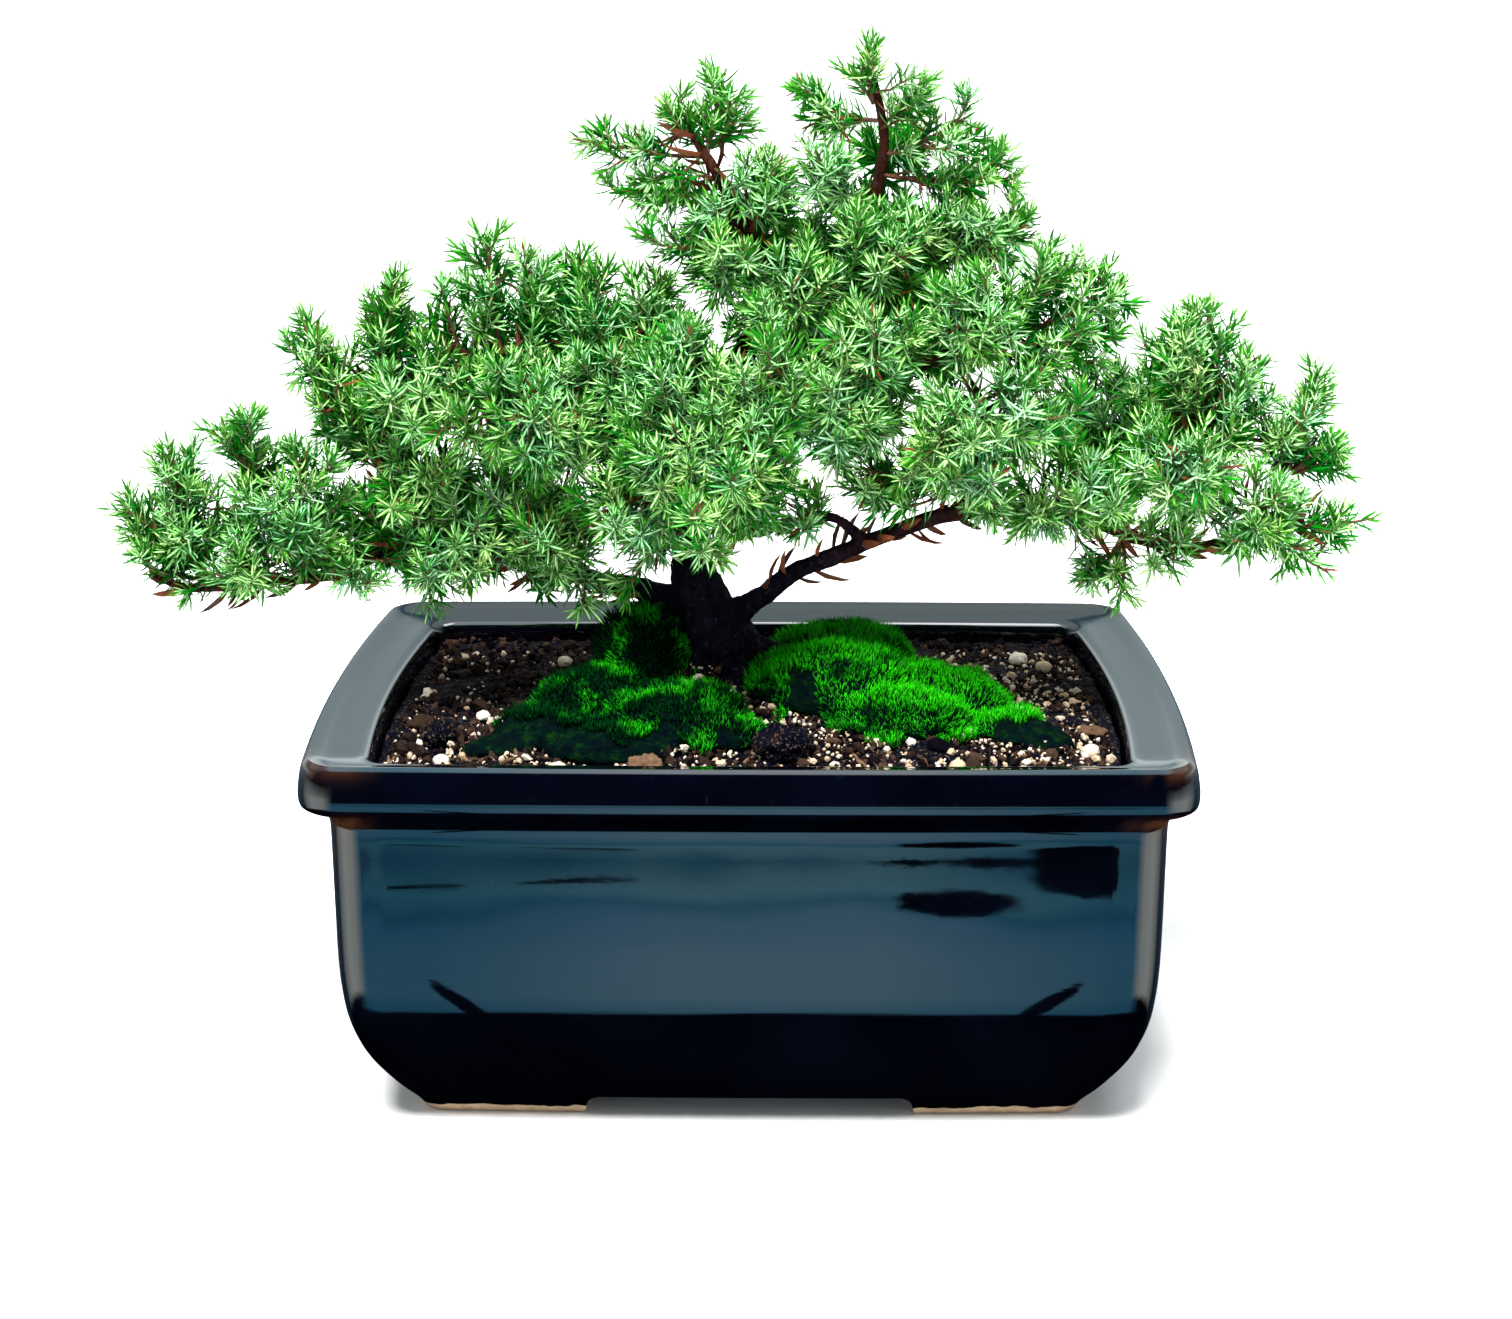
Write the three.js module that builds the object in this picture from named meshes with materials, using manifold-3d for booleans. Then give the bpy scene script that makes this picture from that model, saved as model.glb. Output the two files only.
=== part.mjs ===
// A juniper bonsai in a glazed rectangular pot: pot, drain screens, soil, moss, loose grains, one grown trunk with its
// branches, and the leafy boughs that the branches carry.
// Millimetres, +Z up. The origin is the centre of the pot's footprint on the surface it stands on, -Y is the front.
import * as THREE from "three";
import { mergeVertices } from "three/addons/utils/BufferGeometryUtils.js";
import Module from "manifold-3d";

const wasm = await Module();
wasm.setup();

// ---- Driving dimensions ----
const GAP = 0.3; // clearance between separate pieces that touch
const SMALLEST_DETAIL = 0.1; // slivers the cuts leave are smoothed away below this
const POT = {
  width: 203, // across the rim at its front and back corners
  depth: 153,
  height: 94,
  cornerRadius: 9,
  sideBow: 3.6, // how far the middle of each short side bulges past its corners
  frontBow: 1.2,
};
const FOOT = { height: 6, frontGap: 78, sideGap: 56, corner: 3.5 };
const FLOOR_TOP = 13;
const INNER_WALL_INSET = 15.2; // from the rim's outer edge to the inside wall
const DRAIN = { radius: 7, x: 45 };
const SCREEN = { size: 24, thickness: 1, holes: 4, strand: 1.2 };
const SOIL_LEVEL = 86.3; // at the pot's wall

// ---- Materials ----
function material(color, roughness, metalness = 0) {
  return new THREE.MeshStandardMaterial({ color, roughness, metalness });
}
const GLAZE = material(0x0d1524, 0.08);
const SCREEN_PLASTIC = material(0x1d1d1d, 0.6);
const SOIL = material(0x2a1c14, 0.95);
const MOSS = material(0x2f7d18, 0.9);
const BARK = material(0x3a2318, 0.85);
const PERLITE = material(0xe6ddc8, 0.8);
const CHIP = material(0x5a3722, 0.85);
const NEEDLES = material(0x5d9a68, 0.6);

const part = new THREE.Group();

function addMesh(name, geometry, look) {
  const mesh = new THREE.Mesh(geometry, look);
  mesh.name = name;
  part.add(mesh);
}

// ---- Solids: manifold-3d joins and cuts what three.js shapes ----
function solid(geometry) {
  const bare = geometry.index ? geometry.toNonIndexed() : geometry.clone();
  bare.deleteAttribute("normal");
  bare.deleteAttribute("uv");
  const merged = mergeVertices(bare, 1e-3);
  return new wasm.Manifold(
    new wasm.Mesh({
      numProp: 3,
      vertProperties: merged.attributes.position.array,
      triVerts: new Uint32Array(merged.index.array),
    }),
  );
}

function joined(solids) {
  return solids.reduce((whole, piece) => whole.add(piece));
}

// The largest connected body: what a cut leaves once its crumbs have dropped off.
function mainBody(whole) {
  return whole.decompose().reduce((a, b) => (a.volume() > b.volume() ? a : b));
}

function geometryOf(whole) {
  const mesh = whole.asOriginal().simplify(SMALLEST_DETAIL).getMesh();
  return new THREE.BufferGeometry()
    .setAttribute("position", new THREE.BufferAttribute(mesh.vertProperties, 3))
    .setIndex(new THREE.BufferAttribute(mesh.triVerts, 1));
}

// ---- The pot's plan: a rounded rectangle with bulging sides ----
const PLAN = { frontSteps: 2, cornerSteps: 3, sideSteps: 2 };
const PLAN_TURNS = 4 * (PLAN.frontSteps + PLAN.cornerSteps + PLAN.sideSteps);

// The outline that lies inset millimetres inside the rim's edge, counter-clockwise from the middle of the front.
function planOutline(inset) {
  const halfX = POT.width / 2 - inset;
  const halfY = POT.depth / 2 - inset;
  const radius = Math.max(POT.cornerRadius - inset * 0.25, 4);
  const quarter = [];
  for (let i = 0; i < PLAN.frontSteps; i++) {
    quarter.push([((halfX - radius) * i) / PLAN.frontSteps, -halfY]);
  }
  for (let i = 0; i <= PLAN.cornerSteps; i++) {
    const turn = ((i / PLAN.cornerSteps) * Math.PI) / 2;
    quarter.push([
      halfX - radius + radius * Math.sin(turn),
      -halfY + radius - radius * Math.cos(turn),
    ]);
  }
  for (let i = 1; i <= PLAN.sideSteps; i++) {
    quarter.push([halfX, -(halfY - radius) * (1 - i / PLAN.sideSteps)]);
  }
  const back = [...quarter].reverse().map(([x, y]) => [x, -y]);
  const right = [...quarter, ...back.slice(1)];
  const left = right.slice(1).map(([x, y]) => [-x, -y]);
  return [...right, ...left].map(([x, y]) => [
    x * (1 + (POT.sideBow / halfX) * (1 - (y / halfY) ** 2)),
    y * (1 + (POT.frontBow / halfY) * (1 - (x / halfX) ** 2)),
  ]);
}

// A LatheGeometry whose round turns are bent to the plan. Each profile row is [inset, z], with an optional share that
// shrinks its outline towards the centre. A z that is a function gives the height at each x, y.
function planLathe(profile) {
  const rows = profile.map(
    ([inset, z, share = 1]) =>
      new THREE.Vector2((POT.width / 2 - inset) * share, typeof z === "number" ? z : 0),
  );
  const geometry = new THREE.LatheGeometry(rows, PLAN_TURNS);
  const position = geometry.getAttribute("position");
  const outlines = profile.map(([inset]) => planOutline(inset));
  for (let i = 0; i < position.count; i++) {
    const row = i % profile.length;
    const turn = Math.floor(i / profile.length);
    const [, z, share = 1] = profile[row];
    const x = outlines[row][turn][0] * share;
    const y = outlines[row][turn][1] * share;
    position.setXYZ(i, x, y, typeof z === "number" ? z : z(x, y));
  }
  return geometry;
}

// ---- Pot ----
const OUTSIDE = [
  [32, FOOT.height, 0],
  [32, FOOT.height],
  [31.5, 0.6],
  [31, 0],
  [24.2, 0],
  [23.4, 0.8],
  [21.6, 4],
  [17.5, 9],
  [11.6, 18],
  [8, 28],
  [6.6, 40],
  [6.4, 76.5],
  [5.6, 79],
  [3.6, 81],
  [1.2, 82.4],
  [0.2, 84.5],
  [0, 87.5],
  [0.4, 91],
  [1.2, 93.3],
  [2.4, POT.height],
];
const INSIDE = [
  [4.2, 93.6],
  [9, 91.9],
  [13.6, 91],
  [14.8, 90.4],
  [INNER_WALL_INSET, 89],
  [INNER_WALL_INSET, 42],
  [17, 28],
  [21, 19],
  [28, 14],
  [36, FLOOR_TOP],
  [36, FLOOR_TOP, 0],
];

// The opening between two feet, an arch with rounded upper corners, run right through along Y.
function footArch(width) {
  const half = width / 2;
  const shape = new THREE.Shape();
  shape.moveTo(-half - 1, -1);
  shape.lineTo(half + 1, -1);
  shape.lineTo(half, FOOT.height - FOOT.corner);
  shape.quadraticCurveTo(half - 0.5, FOOT.height, half - FOOT.corner - 1, FOOT.height);
  shape.lineTo(-half + FOOT.corner + 1, FOOT.height);
  shape.quadraticCurveTo(-half + 0.5, FOOT.height, -half, FOOT.height - FOOT.corner);
  const length = POT.width + 20;
  return new THREE.ExtrudeGeometry(shape, { depth: length, bevelEnabled: false, curveSegments: 4 })
    .translate(0, 0, -length / 2)
    .rotateX(Math.PI / 2);
}

function makePot() {
  let pot = solid(planLathe([...OUTSIDE, ...INSIDE]));
  pot = pot.subtract(solid(footArch(FOOT.frontGap)));
  pot = pot.subtract(solid(footArch(FOOT.sideGap).rotateZ(Math.PI / 2)));
  for (const side of [-1, 1]) {
    const hole = new THREE.CylinderGeometry(DRAIN.radius, DRAIN.radius, 3 * FLOOR_TOP, 20)
      .rotateX(Math.PI / 2)
      .translate(side * DRAIN.x, 0, FLOOR_TOP);
    pot = pot.subtract(solid(hole));
  }
  return pot;
}
addMesh("glazed_pot", geometryOf(makePot()), GLAZE);

// ---- Drain screens: plastic mesh squares that lie over the drain holes and keep the soil in ----
function makeScreen() {
  let screen = solid(new THREE.BoxGeometry(SCREEN.size, SCREEN.size, SCREEN.thickness));
  const pitch = (SCREEN.size - SCREEN.strand) / SCREEN.holes;
  const window = pitch - SCREEN.strand;
  for (let i = 0; i < SCREEN.holes; i++) {
    for (let j = 0; j < SCREEN.holes; j++) {
      const x = (i + 0.5 - SCREEN.holes / 2) * pitch;
      const y = (j + 0.5 - SCREEN.holes / 2) * pitch;
      const hole = new THREE.BoxGeometry(window, window, 3 * SCREEN.thickness).translate(x, y, 0);
      screen = screen.subtract(solid(hole));
    }
  }
  return geometryOf(screen).translate(0, 0, FLOOR_TOP + GAP + SCREEN.thickness / 2);
}
for (const [side, name] of [
  [-1, "drain_screen_left"],
  [1, "drain_screen_right"],
]) {
  addMesh(name, makeScreen().translate(side * DRAIN.x, 0, 0), SCREEN_PLASTIC);
}

// ---- Wood: one grown trunk with its roots and branches. Each route is [x, y, z, radius] points ----
const WOOD_ROUTES = {
  trunk: [
    [-5, -2, 72, 9],
    [-6, -2, 92, 11.5],
    [-8, -2, 103, 9.5],
    [-11, -2, 112, 7.4],
    [-15, -1, 122, 5.6],
    [-16, 0, 134, 4.6],
    [-14, 1, 148, 4.1],
    [-8, 3, 163, 3.6],
    [0, 5, 178, 3.1],
    [12, 8, 189, 2.3],
    [24, 12, 199, 1.9],
    [30, 14, 212, 1.6],
    [32, 12, 226, 1.3],
    [29, 10, 240, 0.9],
  ],
  left_leader: [
    [3, 6, 183, 2.1],
    [3, 5, 194, 1.8],
    [-2, 5, 206, 1.5],
    [-8, 3, 217, 1.3],
    [-14, 5, 227, 0.9],
  ],
  left_bough: [
    [-11, -1, 110, 4.2],
    [-27, 2, 116, 2.9],
    [-40, 2, 119, 2.4],
    [-57, 0, 123, 2.1],
    [-77, -5, 128, 1.9],
    [-90, -6, 127, 1.7],
    [-104, -8, 122, 1.5],
    [-122, -10, 120, 1.2],
    [-138, -11, 119, 0.9],
    [-147, -11, 123, 0.6],
  ],
  left_riser: [
    [-89, -6, 127, 1.6],
    [-90, -5, 140, 1.4],
    [-89, -3, 155, 1.3],
    [-92, -2, 170, 1],
  ],
  left_upper_bough: [
    [-15, 1, 142, 3],
    [-34, -6, 156, 2.4],
    [-55, -8, 168, 1.9],
    [-74, -4, 178, 1.3],
  ],
  left_back_bough: [
    [-14, 2, 146, 2.8],
    [-30, 20, 154, 2.2],
    [-48, 34, 161, 1.6],
  ],
  front_bough: [
    [-15, 0, 138, 2.8],
    [-16, -18, 148, 2.2],
    [-12, -32, 156, 1.5],
  ],
  right_bough: [
    [-7, -2, 108, 4],
    [1, -8, 116, 2.6],
    [13, -12, 125, 2.3],
    [27, -14, 131.5, 2.1],
    [44, -14, 137.5, 1.9],
    [62, -12, 140, 1.8],
    [82, -10, 136, 1.7],
    [104, -8, 129, 1.6],
    [122, -8, 133, 1.3],
    [134, -8, 136, 1],
  ],
  right_twig: [
    [27, -14, 132.5, 1.5],
    [19, -15, 138, 1.1],
    [6, -16, 136, 1],
    [-6, -18, 133, 0.9],
  ],
  right_riser: [
    [50, -14, 138.5, 1.8],
    [54, -17, 152, 1.5],
    [56, -16, 166, 1.2],
  ],
  right_outer_riser: [
    [102, -8, 129, 1.7],
    [106, -5, 148, 1.4],
    [107, -2, 168, 1],
  ],
  right_end_riser: [
    [121, -8, 133, 1.4],
    [128, -5, 146, 1.2],
    [134, -3, 156, 0.9],
  ],
  right_upper_bough: [
    [-9, 3, 160, 2.8],
    [14, -4, 168, 2.2],
    [38, -10, 174, 1.8],
    [62, -8, 181, 1.3],
  ],
  right_back_bough: [
    [-7, 3, 163, 2.8],
    [18, 22, 168, 2.1],
    [42, 35, 174, 1.5],
  ],
  right_low_back_bough: [
    [80, -10, 136, 1.7],
    [92, 6, 144, 1.4],
    [100, 22, 152, 1],
  ],
  root_front: [
    [-6, -4, 101, 5],
    [-3, -18, 95, 3.6],
    [-1, -30, 86, 2],
  ],
  root_right: [
    [-2, -1, 101, 5],
    [12, 3, 95, 3.6],
    [25, 6, 86, 2],
  ],
  root_left: [
    [-10, 0, 102, 5],
    [-24, -3, 96, 3.4],
    [-36, -6, 86, 2],
  ],
  root_back: [
    [-6, 4, 101, 5],
    [-12, 17, 95, 3.4],
    [-14, 29, 86, 2],
  ],
};

// A tapered rod bent along a route: a closed CylinderGeometry whose rings are laid on the route's frames.
function bentRod(route, swell) {
  const curve = new THREE.CatmullRomCurve3(route.map(([x, y, z]) => new THREE.Vector3(x, y, z)));
  const rings = Math.max(3, Math.round(curve.getLength() / 12));
  const sides = route[0][3] > 2.9 ? 8 : 5;
  const frames = curve.computeFrenetFrames(rings, false);
  const geometry = new THREE.CylinderGeometry(1, 1, 1, sides, rings);
  const position = geometry.getAttribute("position");
  const point = new THREE.Vector3();
  for (let i = 0; i < position.count; i++) {
    const along = Math.min(1, Math.max(0, position.getY(i) + 0.5));
    const ring = Math.round(along * rings);
    const t = curve.getUtoTmapping(along);
    const place = t * (route.length - 1);
    const near = Math.min(route.length - 2, Math.floor(place));
    const radius =
      THREE.MathUtils.lerp(route[near][3], route[near + 1][3], place - near) + swell;
    point.copy(curve.getPoint(t));
    point.addScaledVector(frames.normals[ring], position.getX(i) * radius);
    point.addScaledVector(frames.binormals[ring], -position.getZ(i) * radius);
    if (ring === 0) point.addScaledVector(frames.tangents[0], -swell);
    if (ring === rings) point.addScaledVector(frames.tangents[rings], swell);
    position.setXYZ(i, point.x, point.y, point.z);
  }
  return geometry;
}

function makeWood(swell) {
  return joined(Object.values(WOOD_ROUTES).map((route) => solid(bentRod(route, swell))));
}
const wood = makeWood(0);
const woodRoom = makeWood(GAP);
addMesh("trunk_and_branches", geometryOf(wood), BARK);

// ---- Soil: fills the pot and rises in a mound round the trunk ----
function bell(x, y, centreX, centreY, spreadX, spreadY) {
  return Math.exp(-(((x - centreX) / spreadX) ** 2) - ((y - centreY) / spreadY) ** 2);
}

function soilTop(x, y) {
  const mound = 13 * bell(x, y, -12, -2, 26, 26) + 8 * bell(x, y, 24, 0, 34, 28);
  const front = 4 * bell(x, y, 20, -38, 60, 16);
  const ripple = 0.7 * Math.sin(x * 0.16 + 1) * Math.cos(y * 0.2);
  return SOIL_LEVEL + mound + front + ripple;
}

const SOIL_RINGS = [1, 0.86, 0.72, 0.58, 0.44, 0.3, 0.16, 0];
function soilBlock(lift) {
  const wall = INNER_WALL_INSET + GAP;
  const bottom = FLOOR_TOP + GAP;
  const rows = [
    [36, bottom, 0],
    [36, bottom],
    [28.4, 14.5],
    [21.4, 19.3],
    [17.4, 28],
    [wall, 42.2],
  ];
  for (const share of SOIL_RINGS) {
    rows.push([wall, (x, y) => soilTop(x, y) + lift, share]);
  }
  return solid(planLathe(rows));
}

function makeSoil() {
  let soil = soilBlock(0).subtract(woodRoom);
  for (const side of [-1, 1]) {
    const pocket = new THREE.BoxGeometry(
      SCREEN.size + 2 * GAP,
      SCREEN.size + 2 * GAP,
      SCREEN.thickness + 3 * GAP,
    ).translate(side * DRAIN.x, 0, FLOOR_TOP + GAP + SCREEN.thickness / 2);
    soil = soil.subtract(solid(pocket));
  }
  return mainBody(soil);
}
const soilRoom = soilBlock(GAP);
addMesh("potting_soil", geometryOf(makeSoil()), SOIL);

// ---- Moss: low cushions on the soil. Each is [x, y, reach along x, reach along y, thickness, turn in degrees] ----
const MOSS_CUSHIONS = {
  moss_cushion_left: [
    [-27, -3, 13, 15, 17, 0],
    [-36, -17, 18, 15, 11, 15],
    [-46, -32, 17, 12, 7, 0],
    [-59, -41, 10, 7, 4.5, 0],
  ],
  moss_cushion_centre: [
    [-17, -30, 20, 13, 8, 0],
    [-31, -44, 18, 9, 6, 0],
    [-6, -40, 11, 9, 5, 0],
  ],
  moss_cushion_right: [
    [22, 6, 20, 18, 10, 0],
    [18, -16, 22, 18, 10, 0],
    [44, -12, 20, 17, 9, -25],
    [34, -30, 20, 13, 8, -10],
  ],
  moss_cushion_right_tail: [
    [62, -34, 16, 10, 6, -20],
    [30, -48, 14, 8, 6, 0],
  ],
};

function cushion([x, y, reachX, reachY, thickness, turn], swell) {
  const geometry = new THREE.SphereGeometry(1, 12, 7).rotateX(Math.PI / 2);
  return solid(
    geometry
      .scale(reachX + swell, reachY + swell, thickness + swell)
      .rotateZ(THREE.MathUtils.degToRad(turn))
      .translate(x, y, soilTop(x, y) - 1),
  );
}

let taken = soilRoom.add(woodRoom);
for (const [name, cushions] of Object.entries(MOSS_CUSHIONS)) {
  const whole = joined(cushions.map((one) => cushion(one, 0)));
  addMesh(name, geometryOf(mainBody(whole.subtract(taken))), MOSS);
  taken = taken.add(joined(cushions.map((one) => cushion(one, GAP))));
}

// ---- Loose grains on the soil. Each is [x, y, radius], and rests in its own small place on the surface ----
function grain([x, y, radius], stretch, detail, swell) {
  const geometry = new THREE.IcosahedronGeometry(radius + swell, detail)
    .scale(1, 0.85, 0.7)
    .scale(stretch, 1, 1 / stretch)
    .rotateZ(x + y);
  const height = (0.7 * radius) / stretch;
  return geometry.translate(x, y, soilTop(x, y) + 0.55 * height + GAP);
}

function addGrains(prefix, places, look, stretch, detail) {
  places.forEach((place, i) => {
    const whole = solid(grain(place, stretch, detail, 0)).subtract(taken);
    addMesh(prefix + (i + 1), geometryOf(mainBody(whole)), look);
    taken = taken.add(solid(grain(place, stretch, detail, GAP)));
  });
}
const PERLITE_PLACES = [
  [-44, -57, 2.6],
  [-72, -48, 2.2],
  [48, -56, 2.4],
  [80, -44, 2.6],
  [70, 38, 3],
  [76, 30, 2.4],
  [-50, 36, 2.4],
  [-66, -14, 2.2],
];
const CHIP_PLACES = [
  [-24, -55, 4],
  [-80, -20, 3.6],
  [82, -32, 3.4],
  [56, 20, 3.4],
];
const CLOD_PLACES = [
  [8, -49, 7],
  [-74, -34, 4.5],
];
addGrains("perlite_grain_", PERLITE_PLACES, PERLITE, 1, 1);
addGrains("bark_chip_", CHIP_PLACES, CHIP, 1.35, 0);
addGrains("soil_clod_", CLOD_PLACES, SOIL, 1.1, 1);

// ---- Leafy boughs: the outer shape of the needles round each group of shoots ----
// Each shoot is [base x, y, z, tip x, y, z, reach], where reach is how far its needles and side shoots stand out.
const BOUGHS = {
  bough_left_tip: [
    [-132, -11, 120, -153, -10, 143, 13],
    [-134, -12, 122, -140, -12, 157, 14],
    [-128, -11, 121, -148, -14, 124, 10],
  ],
  bough_left_outer: [
    [-118, -10, 121, -123, -9, 165, 14],
    [-112, -9, 122, -106, -15, 157, 19],
    [-122, -10, 121, -120, -26, 134, 12],
  ],
  bough_left_riser: [
    [-90, -4, 146, -110, 0, 186, 13],
    [-92, -2, 150, -98, 14, 168, 16],
  ],
  bough_left_riser_top: [
    [-89, -3, 156, -86, 0, 195, 13],
    [-86, -4, 160, -72, -18, 178, 17],
  ],
  bough_left_low: [
    [-62, -3, 126, -56, -17, 132, 11],
    [-96, -7, 126, -100, -20, 131, 11],
    [-78, -5, 128, -80, -22, 122, 12],
    [-74, -5, 128, -64, -22, 138, 16],
  ],
  bough_left_low_back: [
    [-84, -5, 129, -94, 18, 136, 18],
    [-66, -3, 127, -66, 22, 138, 19],
  ],
  bough_left_inner: [
    [-45, 1, 121, -38, -15, 121, 9],
    [-56, 0, 124, -54, 18, 140, 15],
    [-72, -4, 128, -80, -14, 158, 18],
    [-58, -2, 124, -62, -8, 152, 19],
    [-50, 1, 124, -46, -20, 138, 15],
  ],
  bough_left_upper_tip: [
    [-60, -7, 176, -64, 0, 206, 12],
    [-56, -7, 178, -52, 0, 203, 12],
    [-68, -5, 174, -84, 4, 184, 13],
  ],
  bough_left_upper_front: [
    [-46, -8, 163, -56, -34, 166, 21],
    [-58, -8, 168, -70, -26, 160, 17],
  ],
  bough_left_upper: [
    [-50, -7, 164, -58, 4, 186, 18],
    [-42, -6, 160, -43, 8, 198, 20],
    [-36, -6, 158, -30, -24, 180, 19],
    [-30, -4, 172, -22, -4, 196, 13],
  ],
  bough_left_back_tip: [
    [-42, 30, 160, -66, 46, 166, 19],
    [-46, 34, 161, -46, 50, 182, 19],
  ],
  bough_left_back: [
    [-28, 18, 154, -28, 38, 150, 19],
    [-26, 16, 154, -24, 34, 182, 19],
  ],
  bough_front: [
    [-14, -26, 153, -18, -46, 168, 21],
    [-15, -20, 150, -16, -30, 188, 22],
  ],
  bough_front_right: [
    [-12, -28, 154, 6, -48, 156, 19],
    [-10, -24, 154, 8, -34, 180, 21],
  ],
  bough_front_low: [
    [-8, -12, 141, 4, -28, 144, 12],
    [-17, -7, 133, -28, -24, 131, 9],
    [-18, -16, 146, -38, -34, 142, 17],
    [-20, -8, 141, -30, -17, 122, 10],
  ],
  bough_low_twig: [
    [10, -16, 138, 0, -21, 140, 8],
    [18, -15, 137, 4, -26, 142, 11],
  ],
  bough_crown_left_tip: [
    [-12, 4, 222, -46, 10, 226, 9],
    [-8, 4, 217, -35, 8, 213, 10],
    [-12, 4, 223, -23, 10, 236, 9],
  ],
  bough_crown_left: [
    [-11, 4, 221, -6, 10, 241, 11],
    [-4, 5, 209, 9, 0, 222, 14],
    [-2, 5, 207, -20, 2, 214, 11],
  ],
  bough_crown_left_low: [
    [1, 5, 200, -22, -2, 202, 12],
    [0, 5, 196, -12, -16, 202, 14],
    [2, 7, 198, -8, 26, 204, 15],
  ],
  bough_apex: [
    [29, 10, 234, 25, 10, 249, 10],
    [30, 10, 230, 10, 8, 236, 9],
    [31, 11, 228, 43, 10, 242, 10],
  ],
  bough_crown_right: [
    [32, 12, 222, 54, 10, 232, 11],
    [31, 13, 217, 66, 10, 221, 11],
    [32, 13, 220, 38, 34, 226, 13],
  ],
  bough_crown_right_low: [
    [27, 12, 204, 69, 4, 206, 17],
    [26, 12, 206, 14, -4, 226, 11],
  ],
  bough_crown_back: [
    [14, 9, 191, 12, 30, 198, 18],
    [22, 12, 198, 44, 34, 198, 18],
  ],
  bough_crown_front: [
    [8, 6, 186, 10, -20, 196, 19],
    [18, 8, 194, 40, -14, 202, 18],
  ],
  bough_right_upper: [
    [14, -4, 168, 24, -38, 168, 19],
    [26, -7, 171, 30, -26, 190, 19],
  ],
  bough_right_upper_tip: [
    [58, -8, 180, 78, 0, 200, 17],
    [54, -9, 178, 92, 0, 194, 15],
    [60, -8, 180, 90, -5, 181, 13],
    [58, -8, 178, 74, -18, 176, 14],
    [50, -9, 177, 56, -24, 196, 18],
  ],
  bough_right_riser: [
    [55, -17, 158, 42, -42, 162, 18],
    [56, -16, 162, 66, -34, 170, 18],
    [55, -16, 166, 48, -28, 176, 14],
    [52, -16, 146, 58, -30, 149, 13],
    [48, -15, 144, 22, -19, 152, 13],
  ],
  bough_right_back: [
    [36, 32, 172, 60, 46, 182, 19],
    [26, 26, 170, 14, 46, 180, 19],
    [22, 24, 169, 34, 40, 152, 18],
  ],
  bough_right_low: [
    [70, -11, 140, 66, -26, 146, 13],
    [96, -9, 131, 104, -20, 138, 12],
    [90, -10, 133, 83, -18, 121, 12],
    [90, -9, 133, 90, -16, 119, 12],
    [76, -10, 138, 84, -22, 156, 18],
  ],
  bough_right_outer_riser: [
    [107, -3, 160, 105, 0, 190, 17],
    [106, -5, 150, 119, -2, 181, 18],
    [105, -6, 144, 98, -28, 158, 19],
  ],
  bough_right_low_back: [
    [94, 10, 146, 90, 34, 152, 19],
    [98, 18, 150, 112, 30, 166, 18],
    [90, 2, 142, 82, 16, 170, 19],
  ],
  bough_right_end_riser: [
    [130, -4, 150, 137, 0, 170, 13],
    [131, -5, 147, 145, -1, 156, 12],
    [128, -5, 148, 122, -8, 166, 13],
    [124, -7, 138, 118, -24, 144, 15],
  ],
  bough_right_tip: [
    [128, -8, 135, 154, -8, 137, 9],
    [124, -8, 133, 143, -10, 122, 8],
  ],
};

// The needles' outer shape on one shoot: a SphereGeometry stretched from the base to the tip.
function envelope([x, y, z, tipX, tipY, tipZ, reach], swell) {
  const base = new THREE.Vector3(x, y, z);
  const tip = new THREE.Vector3(tipX, tipY, tipZ);
  const along = tip.clone().sub(base);
  const middle = base.clone().add(tip).multiplyScalar(0.5);
  const upright = new THREE.Vector3(0, 1, 0);
  const turn = new THREE.Quaternion().setFromUnitVectors(upright, along.clone().normalize());
  return solid(
    new THREE.SphereGeometry(1, 8, 5)
      .scale(reach + swell, along.length() / 2 + 3 + swell, reach + swell)
      .applyQuaternion(turn)
      .translate(middle.x, middle.y, middle.z),
  );
}

for (const [name, shoots] of Object.entries(BOUGHS)) {
  const whole = joined(shoots.map((shoot) => envelope(shoot, 0)));
  addMesh(name, geometryOf(mainBody(whole.subtract(taken))), NEEDLES);
  taken = taken.add(joined(shoots.map((shoot) => envelope(shoot, GAP))));
}

export default part;
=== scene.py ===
"""Looks for the juniper bonsai in its glazed pot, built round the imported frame.

Lengths in this file are millimetres unless a name says otherwise, and MM turns them into Blender's metres.
"""

import math

import bmesh
import bpy
import numpy as np
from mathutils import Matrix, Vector
from mathutils.bvhtree import BVHTree


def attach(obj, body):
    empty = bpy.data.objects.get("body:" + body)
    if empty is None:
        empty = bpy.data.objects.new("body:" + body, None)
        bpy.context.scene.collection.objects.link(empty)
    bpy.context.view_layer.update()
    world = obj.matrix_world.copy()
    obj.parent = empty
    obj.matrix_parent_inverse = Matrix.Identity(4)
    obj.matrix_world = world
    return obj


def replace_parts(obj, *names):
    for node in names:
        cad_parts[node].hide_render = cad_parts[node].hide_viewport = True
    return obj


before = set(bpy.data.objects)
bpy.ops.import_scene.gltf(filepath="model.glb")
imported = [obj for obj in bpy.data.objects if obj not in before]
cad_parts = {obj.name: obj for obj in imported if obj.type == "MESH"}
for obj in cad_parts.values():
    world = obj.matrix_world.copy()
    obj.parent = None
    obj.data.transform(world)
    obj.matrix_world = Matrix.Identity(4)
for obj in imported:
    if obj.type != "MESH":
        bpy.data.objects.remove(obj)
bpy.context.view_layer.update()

MM = 0.001

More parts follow.
